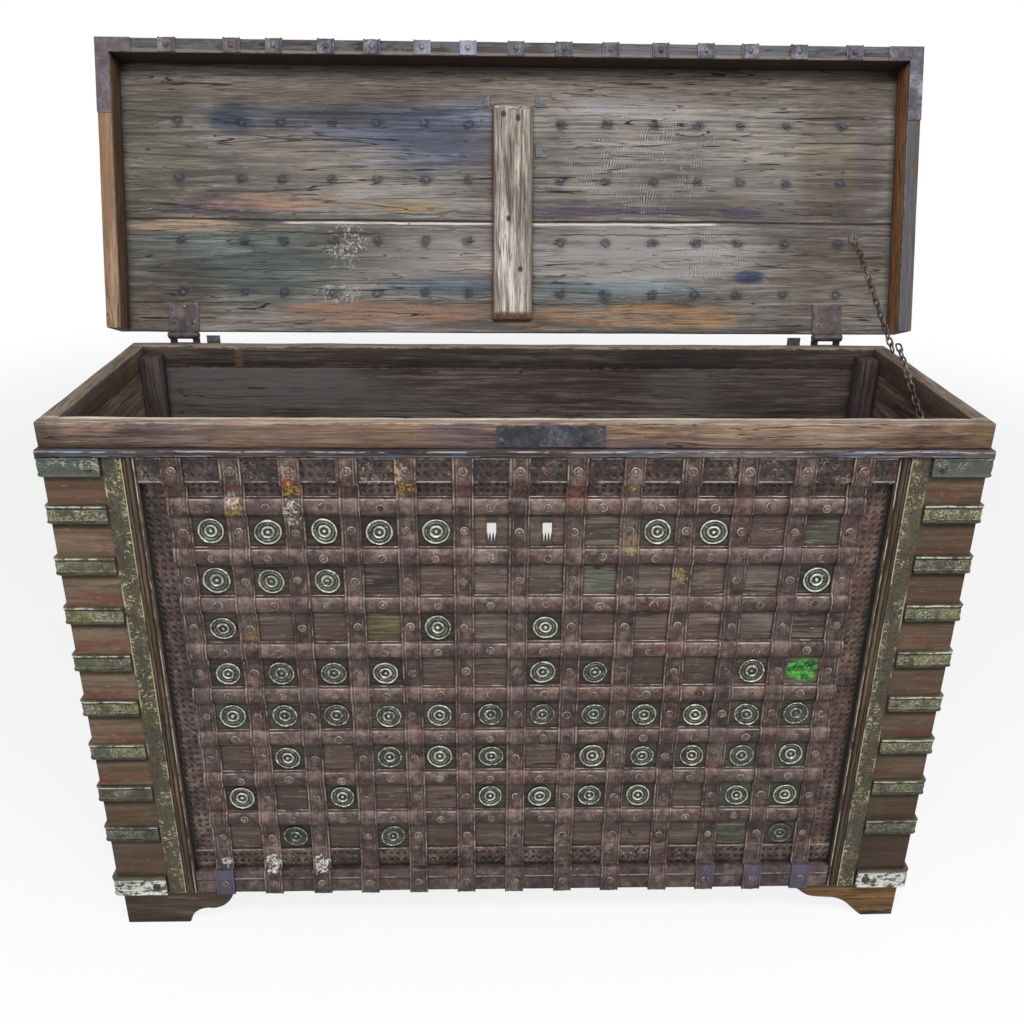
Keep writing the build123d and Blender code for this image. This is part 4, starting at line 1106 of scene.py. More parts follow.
def band_paint_and_light(f, colour, grain):
    """Cream paint and a painted highlight along the upper bead of each band, scrolls below it,
    painted shade in a groove and along the lower edge.
    """
    up = f.near(f.z, BAND_PITCH, BAND_TOP)
    colour = f.coat(0.3, colour, grain, "1f2019", "4d4a37")
    worn = f.blotch(0.44, 0.54, (36, 36, 30), 5, 0.75, (6, 6, 6))
    scroll = f.cloud((150, 150, 120), 2, 0.5, (1, 1, 1), 2.2)
    scroll = f.line(scroll, 0.5, 0.014, 0.03) * f.line(up, -1, 7.5, 1.5)
    held = f.blotch(0.42, 0.52, 34, 4, 0.65, (3, 3, 1))
    colour = f.coat(scroll * held * 0.9, colour, grain, "a8a57f", "e6e3c4")
    # painted shade in the groove and along the lower edge
    dark = f.line(up, 9.6, 0.6, 0.8).most(f.step(up, -9.5, -12.5) * 0.8)
    colour = f.mix(dark * 0.85, colour, "14110c")
    # cream paint on the beads with a painted highlight, broken where worn
    edge = f.line(up, 12.4, 1.1, 0.8) + f.line(up, 7.6, 0.4, 0.6) * 0.6
    edge = edge + f.line(up, -10.8, 0.3, 0.6) * 0.4
    colour = f.coat(edge.least(1.0) * worn * 0.95, colour, grain, "b3b39b", "eeecda")
    low = f.step(f.z, 0.40, 0.2)
    return f.mix(low * 0.45, colour, "26302a")


def cap_paint(f, colour, grain):
    """Grey-green over the caps, cream scribbles near the top."""
    colour = f.coat(0.8, colour, grain, "1c2424", "4b5756")
    scribble = f.cloud((70, 70, 160), 3, 0.6, (1, 5, 1), 1.6)
    scribble = f.line(scribble, 0.5, 0.014, 0.02) * f.step(f.z, 0.868, 0.876)
    held = f.blotch(0.45, 0.55, 26, 3, 0.6, (6, 3, 1))
    return f.mix(scribble * held * 0.85, colour, "d5d3c0")


def emboss_paint(f, colour, grain):
    """Small pressed leaves up the strip, cream where the paint has held."""
    leaf = f.cells((150, 40, 105), (2, 0, 1))
    vein = f.line(leaf, 0.42, 0.03, 0.05)
    held = f.blotch(0.5, 0.6, (30, 30, 18), 4, 0.65, (2, 2, 2))
    held = held.most(f.blotch(0.42, 0.52, (30, 30, 12), 4, 0.65, (6, 2, 6))
                     * f.step(abs(f.x), 0.595, 0.588))
    dash = f.blotch(0.54, 0.6, (150, 60, 260), 3, 0.7, (7, 7, 7), 0.9)
    colour = f.coat(0.72, colour, f.step(grain, 0.3, 0.7), "191510", "564c38")
    side = abs(f.x) * 1000
    colour = f.mix(vein * 0.75, colour, "15120c")
    rule = f.line(side, 583.4, 0.6, 0.8).most(f.line(side, 610.2, 0.6, 0.8))
    colour = f.mix(rule * held * 0.8, colour, "b9b594")
    return f.coat(dash * held * 0.9, colour, grain, "9c9565", "dcd6a8")


def bead_lines(f, colour, grain):
    """Tan roll, dark quirks of painted shade, a cream line that is a painted highlight where the
    stile turns in, and painted shade on its inner side.
    """
    side = abs(f.x) * 1000
    grey = f.blotch(0.46, 0.6, (30, 30, 9), 4, 0.65, (3, 1, 2))
    colour = f.coat(grey * 0.7, colour, grain, "3b342c", "6f675a")
    # painted shade in the quirks
    quirk = f.line(side, 568.3, 0.9, 0.9).most(f.line(side, 575.8, 0.8, 0.8))
    colour = f.mix(quirk * 0.85, colour, "17110e")
    worn = f.blotch(0.4, 0.56, (60, 60, 22), 4, 0.7, (1, 7, 2))
    # painted highlight where the stile turns in
    colour = f.mix(f.line(side, 565.8, 0.8, 0.8) * worn * 0.85, colour, "cfc3ae")
    # painted shade on the inner side
    return f.mix(f.step(side, 564.4, 563.4) * 0.9, colour, "12171a")


def roundel_finish():
    """Turned brass gone green, with cream paint left on the raised rings."""
    f = Finish("roundel patina")
    crest = f.node("ShaderNodeAttribute", {"attribute_name": "crest"}, {}, 2)
    paint = f.node("ShaderNodeAttribute", {"attribute_name": "paint"}, {}, 2)
    grain = f.cloud(330, 3, 0.75)
    drift = f.cloud(40, 4, 0.65)
    colour = f.ramp((grain - 0.5) * 1.2 + (drift - 0.5) * 1.4 + 0.48, (0.15, "0c0d0b"),
                    (0.5, "202822"), (0.9, "515e54"))
    brown = f.step(f.cloud(60, 4, 0.65, (4, 4, 4)) - paint * 0.12, 0.40, 0.50)
    colour = f.coat(brown * 0.75, colour, grain, "1f1714", "54463c")
    chip = f.cloud(165, 4, 0.8, (1, 1, 7), 1.0)
    hold = f.step(chip + paint * 0.25, 0.57, 0.66)
    colour = f.coat(crest * hold, colour, f.step(grain, 0.35, 0.65), "9b9d88", "f0eee0")
    colour = f.mix(crest * (1 - hold) * 0.35, colour, "7d8675")
    streak = f.blotch(0.59, 0.64, 210, 3, 0.75, (5, 5, 7), 0.8)
    colour = f.mix(streak * (0.25 + paint * 0.4), colour, "c9cbb6")
    # painted shade and grime in the hollows between the rings
    colour = f.shade_and_grime(colour, 0.008, 0.9, 0.9, "0e110d")
    return f.close(colour, f.step(grain, 0.3, 0.7, 0.36, 0.62), grain, metal=0.15,
                   depth=0.0008, strength=0.6)


def rivet_ring_light(f, colour, grain):
    """A ring round each rivet head: a painted highlight on its upper part, patchy as if rubbed,
    and painted shade in the groove.
    """
    ring = f.node("ShaderNodeAttribute", {"attribute_name": "crest"}, {}, 2)
    worn = f.blotch(0.4, 0.58, 90, 3, 0.7, (3, 9, 3))
    # painted shade in the groove round the head
    colour = f.mix(f.step(ring, 0.25, 0.05) * 0.75, colour, "1a1210")
    # painted highlight on the upper part of the washer, patchy
    return f.coat(f.step(ring, 0.6, 0.9) * worn * 0.8, colour, grain, "988a7d", "d8cdbf")


def keeper_finish():
    """White paint that ran down the keeper plates in three streams."""
    f = Finish("white runs")
    grain = f.cloud(300, 3, 0.6)
    middle = f.near(f.x, PITCH_X, PITCH_X / 2)
    stream = abs((middle / 4.8 + 0.5) % 1 - 0.5)
    top = row_z(1) / 1000 + 0.013
    drop = (top - f.z) / 0.034
    drop = drop + stream * drop * 2.2 + f.waver(0.5, (160, 160, 20), 2)
    white = f.step(drop, 1.0, 0.8) * f.step(f.z, top + 0.001, top)
    white = white * f.step(abs(middle), 7.6, 6.6)
    colour = f.mix(white, f.mix(grain, "1f1715", "4d3f38"), f.mix(grain, "c9c7c0", "f4f3ef"))
    return f.close(colour, 0.6, grain, depth=0.0006)


def base_paint(f, colour, grain):
    """White paint on the base bands, smudged black."""
    white = f.cloud((60, 60, 110), 5, 0.75, (2, 7, 1))
    white = f.step(white, 0.47, 0.52) * f.line(f.z, 0.090, 0.017, 0.003)
    return f.mix(white * 0.95, f.mix(0.5, colour, "2a2420"), f.mix(grain, "c9c7bf", "f7f6f2"))


finish = {
    material.name: material for material in (
        old_wood("front boards", "x", "2c2220", "584841", "8c7a70", offset=(1, 0, 4),
                 contrast=0.5, extra=ground_scuffs),
        old_wood("green ground", "x", "1a1512", "3d342d", "665b4f", bloom="34503f",
                 bloom_share=0.4, offset=(3, 0, 0), contrast=0.8),
        old_wood("bright green ground", "x", "2a2420", "4b4439", "7d7868", offset=(5, 0, 0),
                 extra=green_patch),
        old_wood("pale ground", "x", "2f2522", "5f514a", "95867c", offset=(6, 2, 3),
                 contrast=0.6, extra=ground_scuffs),
        old_wood("olive ground", "x", "2a2418", "514839", "87805a", offset=(7, 0, 0),
                 extra=ground_scuffs),
        old_wood("moss ground", "x", "211d1a", "473f37", "7a7465", bloom="4d6a58",
                 bloom_share=0.35, offset=(8, 4, 0), extra=ground_scuffs),
        old_wood("side boards", "y", "2b211d", "594940", "8d7a68", edge="a6937f"),
        old_wood("back boards", "x", "1c1614", "3b322e", "635a51", bloom="444850",
                 edge="a6937f"),
        old_wood("inside wood", "x", "1c1614", "3c332e", "5f564c"),
        old_wood("posts", "z", "181213", "372d2d", "5a4e4d"),
        old_wood("rim", "x", "2c2224", "624f47", "9f8976", edge="bcab98", extra=rim_marks),
        old_wood("rim rear", "x", "1d1716", "453a34", "76685c", edge="b5a592",
                 extra=rim_rear_marks),
        old_wood("rim sides", "y", "302521", "5b4a41", "8f7b68", edge="b5a592", extra=rim_marks),
        old_wood("lip", "x", "231d1f", "4c4245", "7c7175", bloom="4f4e5c", bloom_share=0.25,
                 edge="8f8a93", extra=lip_lines),
        old_wood("stiles", "x", "36291f", "675444", "917c67", extra=stile_marks, contrast=0.8,
                 cracks=0.4, fine=0.4),
        old_wood("rails", "x", "2e2422", "5e4f48", "94836f"),
        old_iron("rail sheet", "211817", "493a35", "7a6a62", extra=rail_lines),
        old_wood("feet left", "x", "261d17", "4b3e33", "75644f", edge="8d7a62"),
        old_wood("feet right", "x", "352212", "63482e", "93734b", edge="a88b61"),
        old_wood("lid boards", "x", "322d2a", "65605b", "a09a92", lid=True, extra=lid_marks,
                 fine=0.75, contrast=0.8, cracks=1.2),
        old_wood("lid sides", "y", "4a3a30", "8a7360", "c9b3a0", lid=True, edge="c8b29c",
                 extra=lid_edge_marks),
        old_wood("lid front", "x", "1a1414", "41383a", "776d72", lid=True, bloom="4c5160",
                 bloom_share=0.4, edge="8f8b98", extra=lid_front_marks),
        old_wood("batten", "y", "574a42", "a0958a", "dcd6cc", lid=True, edge="6b4433",
                 contrast=1.1, extra=batten_marks),
        old_iron("straps", extra=upright_paint_and_light),
        old_iron("level straps", extra=level_light_and_wear, offset=(2, 1, 0)),
        old_iron("rivets", "2a201e", "64544b", "a89a8c", offset=(5, 0, 0), rough=0.38,
                 extra=rivet_ring_light),
        dimpled("border sheet", dimples(0, 871, 13.2, 15.5), "150f0e", "2b201d", "50413a",
                spread=border_lines),
        dimpled("lower sheet", dimples(0, 140, 12.5, 14), spread=border_lines),
        dimpled("side sheets", dimples(LATTICE_X, BORDER_Z, 11.6, 11.5), "211817",
                "4b3b36", "837065", spread=side_sheet_shadow),
        old_iron("dark iron", "16171b", "33353c", "646871", "42342f", 0.1),
        old_iron("lid iron", "232127", "49464e", "868492", "5d4038", 0.3, lid=True,
                 flecks="a9aab6", extra=lid_iron_marks),
        old_iron("hinge iron", "1f1819", "423637", "6c5f5e", "4b322b", 0.3, flecks="8a7c78"),
        old_iron("tabs", "20252a", "454c51", "7d858a", "4d3a34", 0.1),
        old_iron("chain iron", "1a1211", "3d302c", "8d7e73", "5c3427", 0.4),
        painted_iron("bands", band_paint_and_light),
        painted_iron("caps", cap_paint, (3, 0, 0)),
        painted_iron("base bands", base_paint, (5, 0, 0)),
        painted_iron("embossed strip", emboss_paint, (7, 0, 0)),
        old_wood("bead", "z", "261b16", "594536", "8f775d", extra=bead_lines),
        roundel_finish(),
        keeper_finish())
}


# ------------------------------------------------------------------ woodwork
# the cells that have kept their roundel: the columns of each row, from the top
ROUNDELS = [(column, row) for row, columns in enumerate((
    (1, 2, 3, 4, 5, 9, 10), (1, 2, 3, 12), (1, 5, 7), (1, 2, 3, 4, 7, 8, 11),
    (1, 2, 3, 4, 5, 6, 7, 8, 9, 10, 11, 12), (2, 4, 5, 6, 8, 9, 10, 11, 12),
    (1, 3, 6, 7, 8, 9, 11, 12), (2, 4, 12)), start=1) for column in columns]


def front_boards():
    """Recessed boards; the ground of each cell has its own old paint."""
    piece = copied("front_boards")
    for index in range(COLUMNS + 1):
        sliced(piece, X, places=[upright_x(index) / 1000])
    sliced(piece, Z, places=[cross_z(index) / 1000 for index in range(ROWS)])
    sliced(piece, Z, places=[(joint + side) / 1000 for joint in WALL_JOINTS
                             for side in (-2.5, 2.5)])
    worked(piece, "BEVEL", width=0.0012, segments=2, limit_method="ANGLE",
           angle_limit=math.radians(35))
    smooth(piece)
    dressed(piece, "carcase", "front boards", "front_boards")
    grounds = {"green ground": set(ROUNDELS),
               "bright green ground": {(12, 4)},
               "olive ground": {(4, 3)},
               "moss ground": {(8, 1), (12, 1), (8, 2), (4, 2), (12, 3), (11, 8)},
               "pale ground": {(6, 2), (7, 2), (9, 2), (11, 2), (2, 3), (6, 3), (11, 3)}}
    for slot_index, (ground, cells) in enumerate(grounds.items(), start=1):
        piece.data.materials.append(finish[ground])
        for face in piece.data.polygons:
            middle = face.center
            column = round(middle.x * 1000 / PITCH_X + (COLUMNS + 1) / 2)
            row = round((row_z(1) - middle.z * 1000) / PITCH_Z) + 1
            if face.normal.y < -0.9 and (column, row) in cells:
                face.material_index = slot_index
    piece.data.materials.append(finish["side sheets"])
    for face in piece.data.polygons:
        if face.normal.y < -0.9 and face.center.z * 1000 > cross_z(0):
            face.material_index = len(grounds) + 1


def woodwork():
    """Every board, post and rail. cuts: the axis and the pitch at which it is sliced."""
    front_boards()
    long_cut = ((X, 0.045),)
    for node, material, cuts, bevel, dents in (
            ("side_boards_left", "side boards", ((Y, 0.06),), 2.0, 0.0014),
            ("side_boards_right", "side boards", ((Y, 0.06),), 2.0, 0.0014),
            ("back_boards", "back boards", ((X, 0.06),), 2.0, 0.0014),
            ("floor_boards", "inside wood", long_cut, 1.5, 0.001),
            ("corner_posts", "posts", ((Z, 0.08),), 2.5, 0.0012),
            ("rim_front", "rim", long_cut, 3.0, 0.0028),
            ("rim_rear", "rim rear", long_cut, 3.0, 0.0022),
            ("rim_left", "rim sides", ((Y, 0.045),), 3.0, 0.0022),
            ("rim_right", "rim sides", ((Y, 0.045),), 3.0, 0.0022),
            ("stile_left", "stiles", ((Z, 0.05),), 2.0, 0.0014),
            ("stile_right", "stiles", ((Z, 0.05),), 2.0, 0.0014),
            ("top_rail", "rails", long_cut, 1.0, 0.0008),
            ("bottom_rail", "rail sheet", long_cut, 1.5, 0.0016),
            ("lip_moulding", "lip", ((X, 0.05), (Y, 0.06)), 1.0, 0.0014),
            ("foot_front_left", "feet left", (), 3.5, 0.002),
            ("foot_front_right", "feet right", (), 3.5, 0.002),
            ("foot_rear_left", "feet left", (), 3.5, 0.002),
            ("foot_rear_right", "feet left", (), 3.5, 0.002)):
        worn_copy(node, "carcase", material, bevel, cuts, dents)
    for node, material, cuts, bevel, dents in (
            ("lid_boards", "lid boards", long_cut, 2.2, 0.0014),
            ("lid_skirt_front", "lid front", long_cut, 2.0, 0.0014),
            ("lid_skirt_left", "lid sides", ((Z, 0.05),), 2.0, 0.0014),
            ("lid_skirt_right", "lid sides", ((Z, 0.05),), 2.0, 0.0014),
            ("lid_batten", "batten", ((Z, 0.02),), 2.0, 0.0022)):
        worn_copy(node, "lid", material, bevel, cuts, dents)


# ------------------------------------------------------------------ straps
# half of an upright strap's ribbed section, from its edge: across and relief
HALF_SECTION = ((-16, 0), (-15.5, 0.9), (-14.2, 1.3), (-12.9, 0.9), (-12.4, 0.1),
                (-10.6, 0.1), (-9.9, 0.7), (-8.9, 0.8), (-8.0, 0.2), (-4, 0.5))
STRAP_SECTION = both_ways(HALF_SECTION, (0, 0.9))


def crown_line(middle, face, height):
    """Rounded outline over one level strap, from its upper to its lower edge."""
    line = []
    for step in range(10):
        turn = math.pi * step / 9
        line.append((face - height * math.sin(turn) ** 0.75,
                     middle + STRAP_W / 2 * math.cos(turn)))
    return line


def upright_straps():
    """Ribbed straps from the lip to below the body, rolled over each level strap."""
    # its outline from the side, downwards: Y and Z
    line = [(-5, 892), (-5, 874), (-5, 858), (-5, 849), (-3, 847.5), (9.5, 847.5),
            (11.5, 845.5), (11.5, 836)]
    for index in range(ROWS):
        line += crown_line(cross_z(index), PANEL_Y - IRON_T, LEVEL_OUT)
        line.append((11.5, cross_z(index) - PITCH_Z / 2))
    line[-1] = (11.5, 190)
    line += [(11.5, 164), (9, 162), (9, 142), (9, 125.5), (7.5, 123.5), (-3, 123.5),
             (-4.5, 121.5), (-4.5, 98), (-4.5, 73), (-3.5, 71.5), (2, 71.5)]
    section = [at(x, line[0][0] - relief, line[0][1]) for x, relief in STRAP_SECTION]
    path = [(0, (b[0] - a[0]) / 1000, (b[1] - a[1]) / 1000)
            for a, b in zip(line, line[1:])]
    one = swept("strap", section, path)
    thick(one, IRON_T, (0, -1, 0))
    straps = many("upright_straps_beaten", one, [
        Matrix.Translation((upright_x(index) / 1000 + random.uniform(-0.0012, 0.0012), 0, 0))
        for index in range(COLUMNS + 1)])
    dented(straps, 0.0022, 0.045)
    smooth(straps, 50)
    dressed(straps, "carcase", "straps", "upright_straps")


def level_straps():
    """Half-round straps with a flange along both edges."""
    upper = [(14.4, 16.4), (11.8, 16.2), (11.2, 15.2), (11.9, 14.2)]
    round_part = [(12 - 6.3 * math.sin(t) ** 0.75, 13.6 * math.cos(t))
                  for t in (0.25 + (math.pi - 0.5) * i / 9 for i in range(10))]
    outline = upper + round_part + [(y, -z) for y, z in upper[::-1]]
    section = [at(-LATTICE_X, y, z) for y, z in outline]
    one = swept("level", section, pulled(2 * LATTICE_X, 0, 0, 62))
    facing_out(one, (0, -1, 0))
    straps = many("level_straps_beaten", one, [
        Matrix.Translation((0, 0, cross_z(index) / 1000)) for index in range(ROWS)])
    dented(straps, 0.0016, 0.05)
    smooth(straps, 50)
    dressed(straps, "carcase", "level straps", "level_straps")


def crested(piece, share):
    """Note on each point how much of it is a crest: the roundels' raised rings, and the rivets'
    painted light and shade. share: a function of the place.
    """
    crest = piece.data.attributes.new("crest", "FLOAT", "POINT")
    for vert, value in zip(piece.data.vertices, crest.data):
        value.value = share(vert.co)


def rivet_light_and_shade(spot):
    """0 in the groove round the head, for painted shade; 1 on the upper part of its washer, for
    a painted highlight.
    """
    out = spot.xy.length
    if 0.0032 < out < 0.0053:
        return 0.0
    # only the upper half of the washer is painted lit
    return 1.0 if out > 0.0053 and spot.y > -0.002 else 0.5


def rivets():
    """Domed rivets in a raised washer, beside each cell and at both ends of the straps."""
    flange = ((6.5, 0), (6.5, 0.9), (5.5, 1.4), (4.4, 0.7), (3.6, 1.0), (2.9, 2.4),
              (1.3, 3.1))
    one = turned_disc("rivet", flange, 12)
    # the rivets' crest carries their painted light and shade
    crested(one, rivet_light_and_shade)
    places = []
    for index in range(COLUMNS + 1):
        x = upright_x(index)
        for y, z, size in STRAP_RIVET_ENDS:
            places.append(to_front(x, y, z, size=size))
        for row in range(1, ROWS + 1):
            wander = [random.uniform(-2.2, 2.2) for _ in range(2)]
            places.append(to_front(x + wander[0], 10.8, row_z(row) + wander[1],
                                   random.gauss(0, 0.7), size=random.uniform(0.9, 1.15)))
    for column in range(1, COLUMNS + 1):
        for index in range(ROWS):
            wander = [random.uniform(-2.5, 2.5) for _ in range(2)]
            places.append(to_front(column_x(column) + wander[0], 5.6,
                                   cross_z(index) + wander[1], random.gauss(0, 0.7),
                                   size=random.uniform(0.9, 1.15)))
    heads = many("strap_rivet_heads", one, places)
    smooth(heads, 30)
    dressed(heads, "carcase", "rivets", "strap_rivets")


def roundels():
    """Ringed discs and their bosses, the paint worn off more in the lower rows."""
    rings = ((21, 0), (21, 2.0), (20.4, 3.4), (19.5, 3.8), (18.6, 3.1), (18.0, 1.6),
             (16.6, 1.2), (15.6, 1.6), (14.6, 2.5), (13.6, 1.8), (12.2, 1.2), (10.6, 1.3),
             (9.9, 3.2), (8.7, 4.4), (7.4, 3.4), (6.6, 1.6), (3.4, 1.6))
    boss = ((3.4, 1.6), (3.2, 3.4), (2.3, 4.8), (1.0, 5.2))
    paint_by_row = (0.95, 0.8, 0.85, 0.62, 0.56, 0.58, 0.72, 0.2)
    for name, profile, node, sides in (("roundel_discs", rings, "roundels", 28),
                                       ("roundel_bosses", boss, "roundel_nails", 12)):
        one = turned_disc(name, profile, sides)
        crested(one, lambda spot: min(max((spot.z * 1000 - 2.0) / 1.2, 0), 1))
        one.data.attributes.new("paint", "FLOAT", "POINT")
        dice = random.Random(11)
        copies = []
        for column, row in ROUNDELS:
            item = second(one)
            hold = paint_by_row[row - 1] + dice.uniform(-0.25, 0.2)
            for value in item.data.attributes["paint"].data:
                value.value = hold
            item.data.transform(to_front(
                column_x(column) + dice.uniform(-1.5, 1.5), PANEL_Y - 0.4,
                row_z(row) + dice.uniform(-1.5, 1.5), dice.random() * 6,
                (dice.uniform(-0.06, 0.06), dice.uniform(-0.06, 0.06)),
                dice.uniform(0.97, 1.04)) @ Matrix.Scale(dice.uniform(0.92, 1.0), 4, (1, 0, 0)))
            copies.append(item)
        bpy.data.objects.remove(one)
        discs = joined(name, *copies)
        dented(discs, 0.0032, 0.009)
        smooth(discs, 50)
        dressed(discs, "carcase", "roundel patina", node)


# ------------------------------------------------------------------ stile trim, corner iron
def mirrored(piece, name):
    """The same piece for the right-hand side."""
    other = second(piece)
    other.name = name
    other.data.transform(Matrix.Scale(-1, 4, (1, 0, 0)))
    other.data.flip_normals()
    return other


def stile_trim():
    """A bead and an embossed strip up each stile, thin iron over its whole height."""
    bead = ((-8, 0), (-7.2, 2.2), (-5.8, 2.7), (-4.6, 1.5), (-3.6, 1.6), (-2.2, 5.2),
            (0, 6.2), (2.2, 5.2), (3.7, 1.8), (5, 1.4), (6.4, 2.4), (7.6, 2.2), (8, 0))
    emboss = ((-15, 0), (-14.6, 1.8), (-13, 2.2), (-12, 1.2), (-6, 1.6), (0, 2.2),
              (6, 1.6), (12, 1.2), (13, 2.2), (14.6, 1.8), (15, 0))
    for name, middle, profile, node, material, dents in (
            ("stile_beads_cut", -BEAD_X, bead, "stile_beads", "bead", 0.0022),
            ("embossed_strips_pressed", -EMBOSS_X, emboss, "embossed_strips",
             "embossed strip", 0.0026)):
        section = [at(middle + x, -relief, LIP_Z) for x, relief in profile]
        strip = swept(name, section, pulled(0, 0, BODY_Z - LIP_Z, 90))
        thick(strip, TRIM_T, (0, -1, 0))
        pair = joined(name, strip, mirrored(strip, name + "_right"))
        dented(pair, dents, 0.02)
        smooth(pair, 50)
        dressed(pair, "carcase", material, node)


def corner_strip(name, middle, profile, body):
    """A strip bent round the front left corner. profile: (height, relief)."""
    section = [at(-BAND_INNER_X, -relief, middle + height) for height, relief in profile]
    round_x = BODY_X - CORNER_ROUND
    round_centre = at(-round_x, CORNER_ROUND, middle)
    path = (pulled(BAND_INNER_X - round_x, 0, 0, 8) + [(90, *round_centre)]
            + pulled(0, BAND_REACH, 0, 9))
    strip = swept(name, section, path)
    thick(strip, body, (0, -1, 0))
    return strip


def corner_iron():
    """Bands, caps and base bands round the front corners, and their rivets."""
    band = [(14.5, 0), (14.4, 5.2), (13.2, 6.9), (11.8, 6.6), (11.0, 4.6), (9.9, 4.6),
            (9.0, 5.7), (8.0, 5.6), (7.2, 4.8), (3.5, 5.4)]
    cap = [(15, 0), (14.9, 6.4), (13.6, 7.6), (12.0, 7.2), (10.5, 6.0), (5, 6.6)]
    base = [(19, 0), (18.9, 7.4), (17.4, 8.9), (15.6, 8.6), (13.6, 7.6), (7, 8.0)]
    levels = [BAND_TOP - BAND_PITCH * index for index in range(BANDS)]
    lefts = [corner_strip("band", z, both_ways(band, (0, 5.6)), 2.0) for z in levels]
    left = joined("corner_bands_left_beaten", *lefts)
    right = mirrored(left, "corner_bands_right_beaten")
    for piece, node in ((left, "corner_bands_left"), (right, "corner_bands_right")):
        dented(piece, 0.0024, 0.03)
        smooth(piece, 50)
        dressed(piece, "carcase", "bands", node)
    for name, z, profile, node, material in (
            ("corner_caps_beaten", CAP_Z, both_ways(cap, (0, 6.9)), "corner_caps", "caps"),
            ("base_bands_beaten", BASE_BAND_Z, both_ways(base, (0, 8.2)), "base_bands",
             "base bands")):
        strip = corner_strip(name, z, profile, 3.0)
        pair = joined(name, strip, mirrored(strip, name + "_right"))
        dented(pair, 0.002, 0.03)
        smooth(pair, 50)
        dressed(pair, "carcase", material, node)
    one = turned_disc("band_rivet", ((7.2, 0), (7.2, 1.0), (6.2, 1.7), (4.8, 0.8),
                                     (4.0, 1.0), (3.2, 2.4), (1.4, 3.0)), 12)
    places = []
    for z, out in [(z, 5.2) for z in levels] + [(CAP_Z, 6.6), (BASE_BAND_Z, 7.9)]:
        for side in (-1, 1):
            places.append(to_front(side * BAND_RIVET_X, -out, z, random.random() * 6))
            turn = Matrix.Rotation(math.pi / 2 * side, 4, "Y")
            spot = at(side * (BODY_X + out), BAND_RIVET_Y, z)
            places.append(Matrix.Translation(spot) @ turn)
    heads = many("corner_rivet_heads", one, places)
    smooth(heads, 30)
    dressed(heads, "carcase", "bands", "corner_rivets")


# ------------------------------------------------------------------ iron on the lid
def lid_straps():
    """Ribbed straps over the lid, down the front skirt and in under its foot."""
    half = ((-15, -1.4), (-14.6, -0.4), (-13.2, 0), (-11.8, -0.5), (-11, -1.2), (-5, -0.9))
    section = [at(x, LID_STRAP_BACK, LID_TOP + IRON_T + relief)
               for x, relief in both_ways(half, (0, -0.8))]
    turn_y = LID_FRONT + 1
    upper = at(0, turn_y, LID_TOP - 1)
    lower = at(0, turn_y, SKIRT_FOOT + 1)
    path = (pulled(0, turn_y - LID_STRAP_BACK, 0, 24) + [(-90, *upper, "X")]
            + pulled(0, 0, SKIRT_FOOT - LID_TOP + 2, 4) + [(-90, *lower, "X")]
            + pulled(0, LID_STRAP_TURN_IN, 0, 4))
    one = swept("lid_strap", section, path)
    thick(one, IRON_T, (0, 0, 1))
    straps = many("lid_straps_beaten", one, [
        LID_TURN @ Matrix.Translation((x / 1000, 0, 0)) for x in LID_STRAP_XS])
    dented(straps, 0.0018, 0.04)
    smooth(straps, 50)
    dressed(straps, "lid", "lid iron", "lid_straps")


def lid_nails():
    """Points of the strap nails, bent over on the underside."""
    washer = turned_disc("washer", ((4.2, 0), (4.0, 0.7), (2.2, 1.1)), 7)
    tip = turned_disc("tip", ((1.6, 0), (1.4, 7), (0.5, 11)), 6)
    tip.data.transform(Matrix.Translation((-0.004, 0, 0.0016))
                       @ Matrix.Rotation(math.radians(84), 4, "Y"))
    one = joined("clinch", washer, tip)
    places = []
    for x in LID_STRAP_XS:
        for reach in LID_NAIL_ROWS:
            if abs(x) > BATTEN_X:
                spot = at(x + random.uniform(-4, 4), HINGE_Y - reach + random.uniform(-4, 4),
                          LID_UNDER)
                places.append(LID_TURN @ Matrix.Translation(spot)
                              @ Matrix.Rotation(math.pi, 4, "X")
                              @ Matrix.Rotation(random.random() * 6.3, 4, "Z"))
    nails = many("lid_clinched_nail_points", one, places)
    smooth(nails, 30)
    dressed(nails, "lid", "dark iron", "lid_clinched_nails")


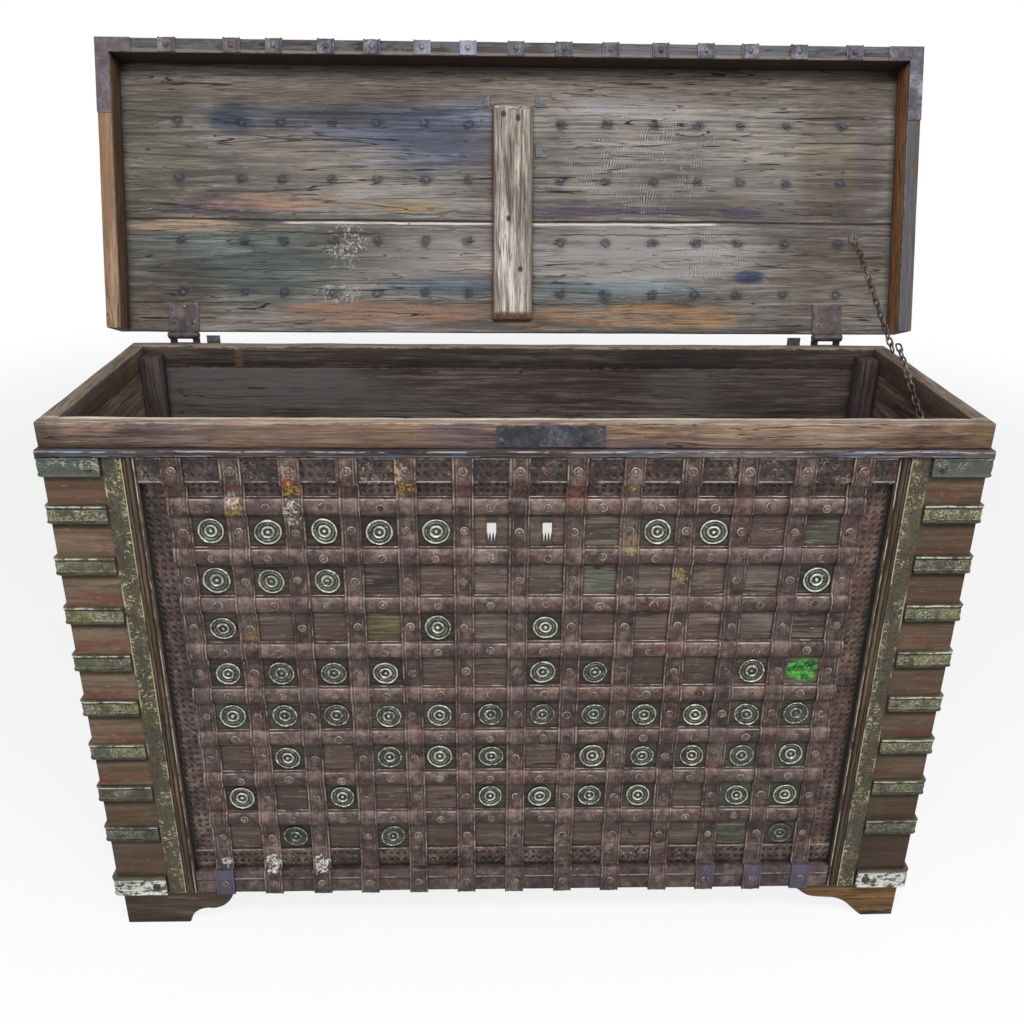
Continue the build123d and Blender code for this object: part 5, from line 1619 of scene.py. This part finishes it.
# ------------------------------------------------------------------ floor and light
def stage_and_light():
    """A floor that fades out to white, a plain grey room and three lamps."""
    calm()
    bpy.ops.mesh.primitive_circle_add(vertices=96, radius=14, fill_type="NGON",
                                      location=(0, 2, -0.0005))
    floor = bpy.context.object
    floor.name = "floor"
    f = Finish("pale floor")
    far = (f.x * f.x + f.y * f.y) ** 0.5
    pale = f.node("ShaderNodeBsdfDiffuse", {}, {"Color": tone("f2f2f2")})
    white = f.node("ShaderNodeEmission", {}, {"Strength": 1.0})
    seen = f.node("ShaderNodeLightPath", {}, {}, "Is Camera Ray")
    shown = f.node("ShaderNodeMixShader", {}, {0: seen * 0.8, 1: pale, 2: white})
    clear = f.node("ShaderNodeBsdfTransparent", {}, {})
    f.show(f.node("ShaderNodeMixShader", {}, {0: f.step(far, 1.6, 3.6), 1: shown, 2: clear}))
    floor.data.materials.append(f.material)

    world = bpy.data.worlds.new("studio")
    bpy.context.scene.world = world
    world.use_nodes = True
    w = Nodes(world.node_tree)
    rays = w.tree.nodes.new("ShaderNodeLightPath").outputs
    camera, through, glossy = (Wire(w, rays[f"Is {ray} Ray"])
                               for ray in ("Camera", "Transmission", "Glossy"))
    room = w.node("ShaderNodeBackground", {}, {"Color": (0.75, 0.77, 0.8, 1), "Strength": 0.38})
    white = w.node("ShaderNodeBackground", {}, {"Color": (1, 1, 1, 1), "Strength": 1.0})
    seen = camera.most(through).most(glossy)
    w.show(w.node("ShaderNodeMixShader", {}, {0: seen, 1: room, 2: white}),
           "ShaderNodeOutputWorld")

    def lamp(name, place, aim, size, watts):
        light = bpy.data.lights.new(name, "AREA")
        light.shape = "RECTANGLE"
        light.size, light.size_y = size
        light.energy = watts
        holder = bpy.data.objects.new(name, light)
        holder.location = place
        beam = Vector(aim) - Vector(place)
        holder.rotation_euler = beam.to_track_quat("-Z", "Y").to_euler()
        bpy.context.collection.objects.link(holder)

    lamp("top light", (0.2, -2.0, 3.1), (0, 0, 0.6), (2.2, 0.8), 82)
    lamp("front light", (-1.6, -3.2, 1.6), (0, 0, 0.6), (1.6, 1.2), 16)
    lamp("side light", (2.6, -2.2, 1.9), (0, 0, 0.7), (1.2, 1.2), 12)


# ------------------------------------------------------------------ make everything
set_camera()
stage_and_light()
woodwork()
upright_straps()
level_straps()
rivets()
roundels()
stile_trim()
corner_iron()
lid_straps()
lid_nails()

PLAIN_PIECES = {
    "border sheet": ("top_border_sheet",),
    "lower sheet": ("bottom_border_sheet",),
    "side sheets": ("side_sheets",),
    "white runs": ("hasp_keepers",),
    "dark iron": ("rim_plate", "board_nails", "lid_clinch_plates"),
    "hinge iron": ("hinge_back_leaf_left", "hinge_back_leaf_right", "hinge_lid_leaf_left",
                   "hinge_lid_leaf_right", "hinge_pins"),
    "rivets": ("hinge_nails_back", "hinge_nails_lid"),
    "tabs": ("back_tabs",),
    "chain iron": ("wall_chain_eye", "lid_chain_eye", "chain_lower", "chain_upper"),
    "lid iron": ("lid_rivets", "lid_corner_plates"),
}
for material, names in PLAIN_PIECES.items():
    for name in names:
        nodes[name].data.materials.clear()
        nodes[name].data.materials.append(finish[material])

bpy.context.scene.view_settings.view_transform = "Standard"
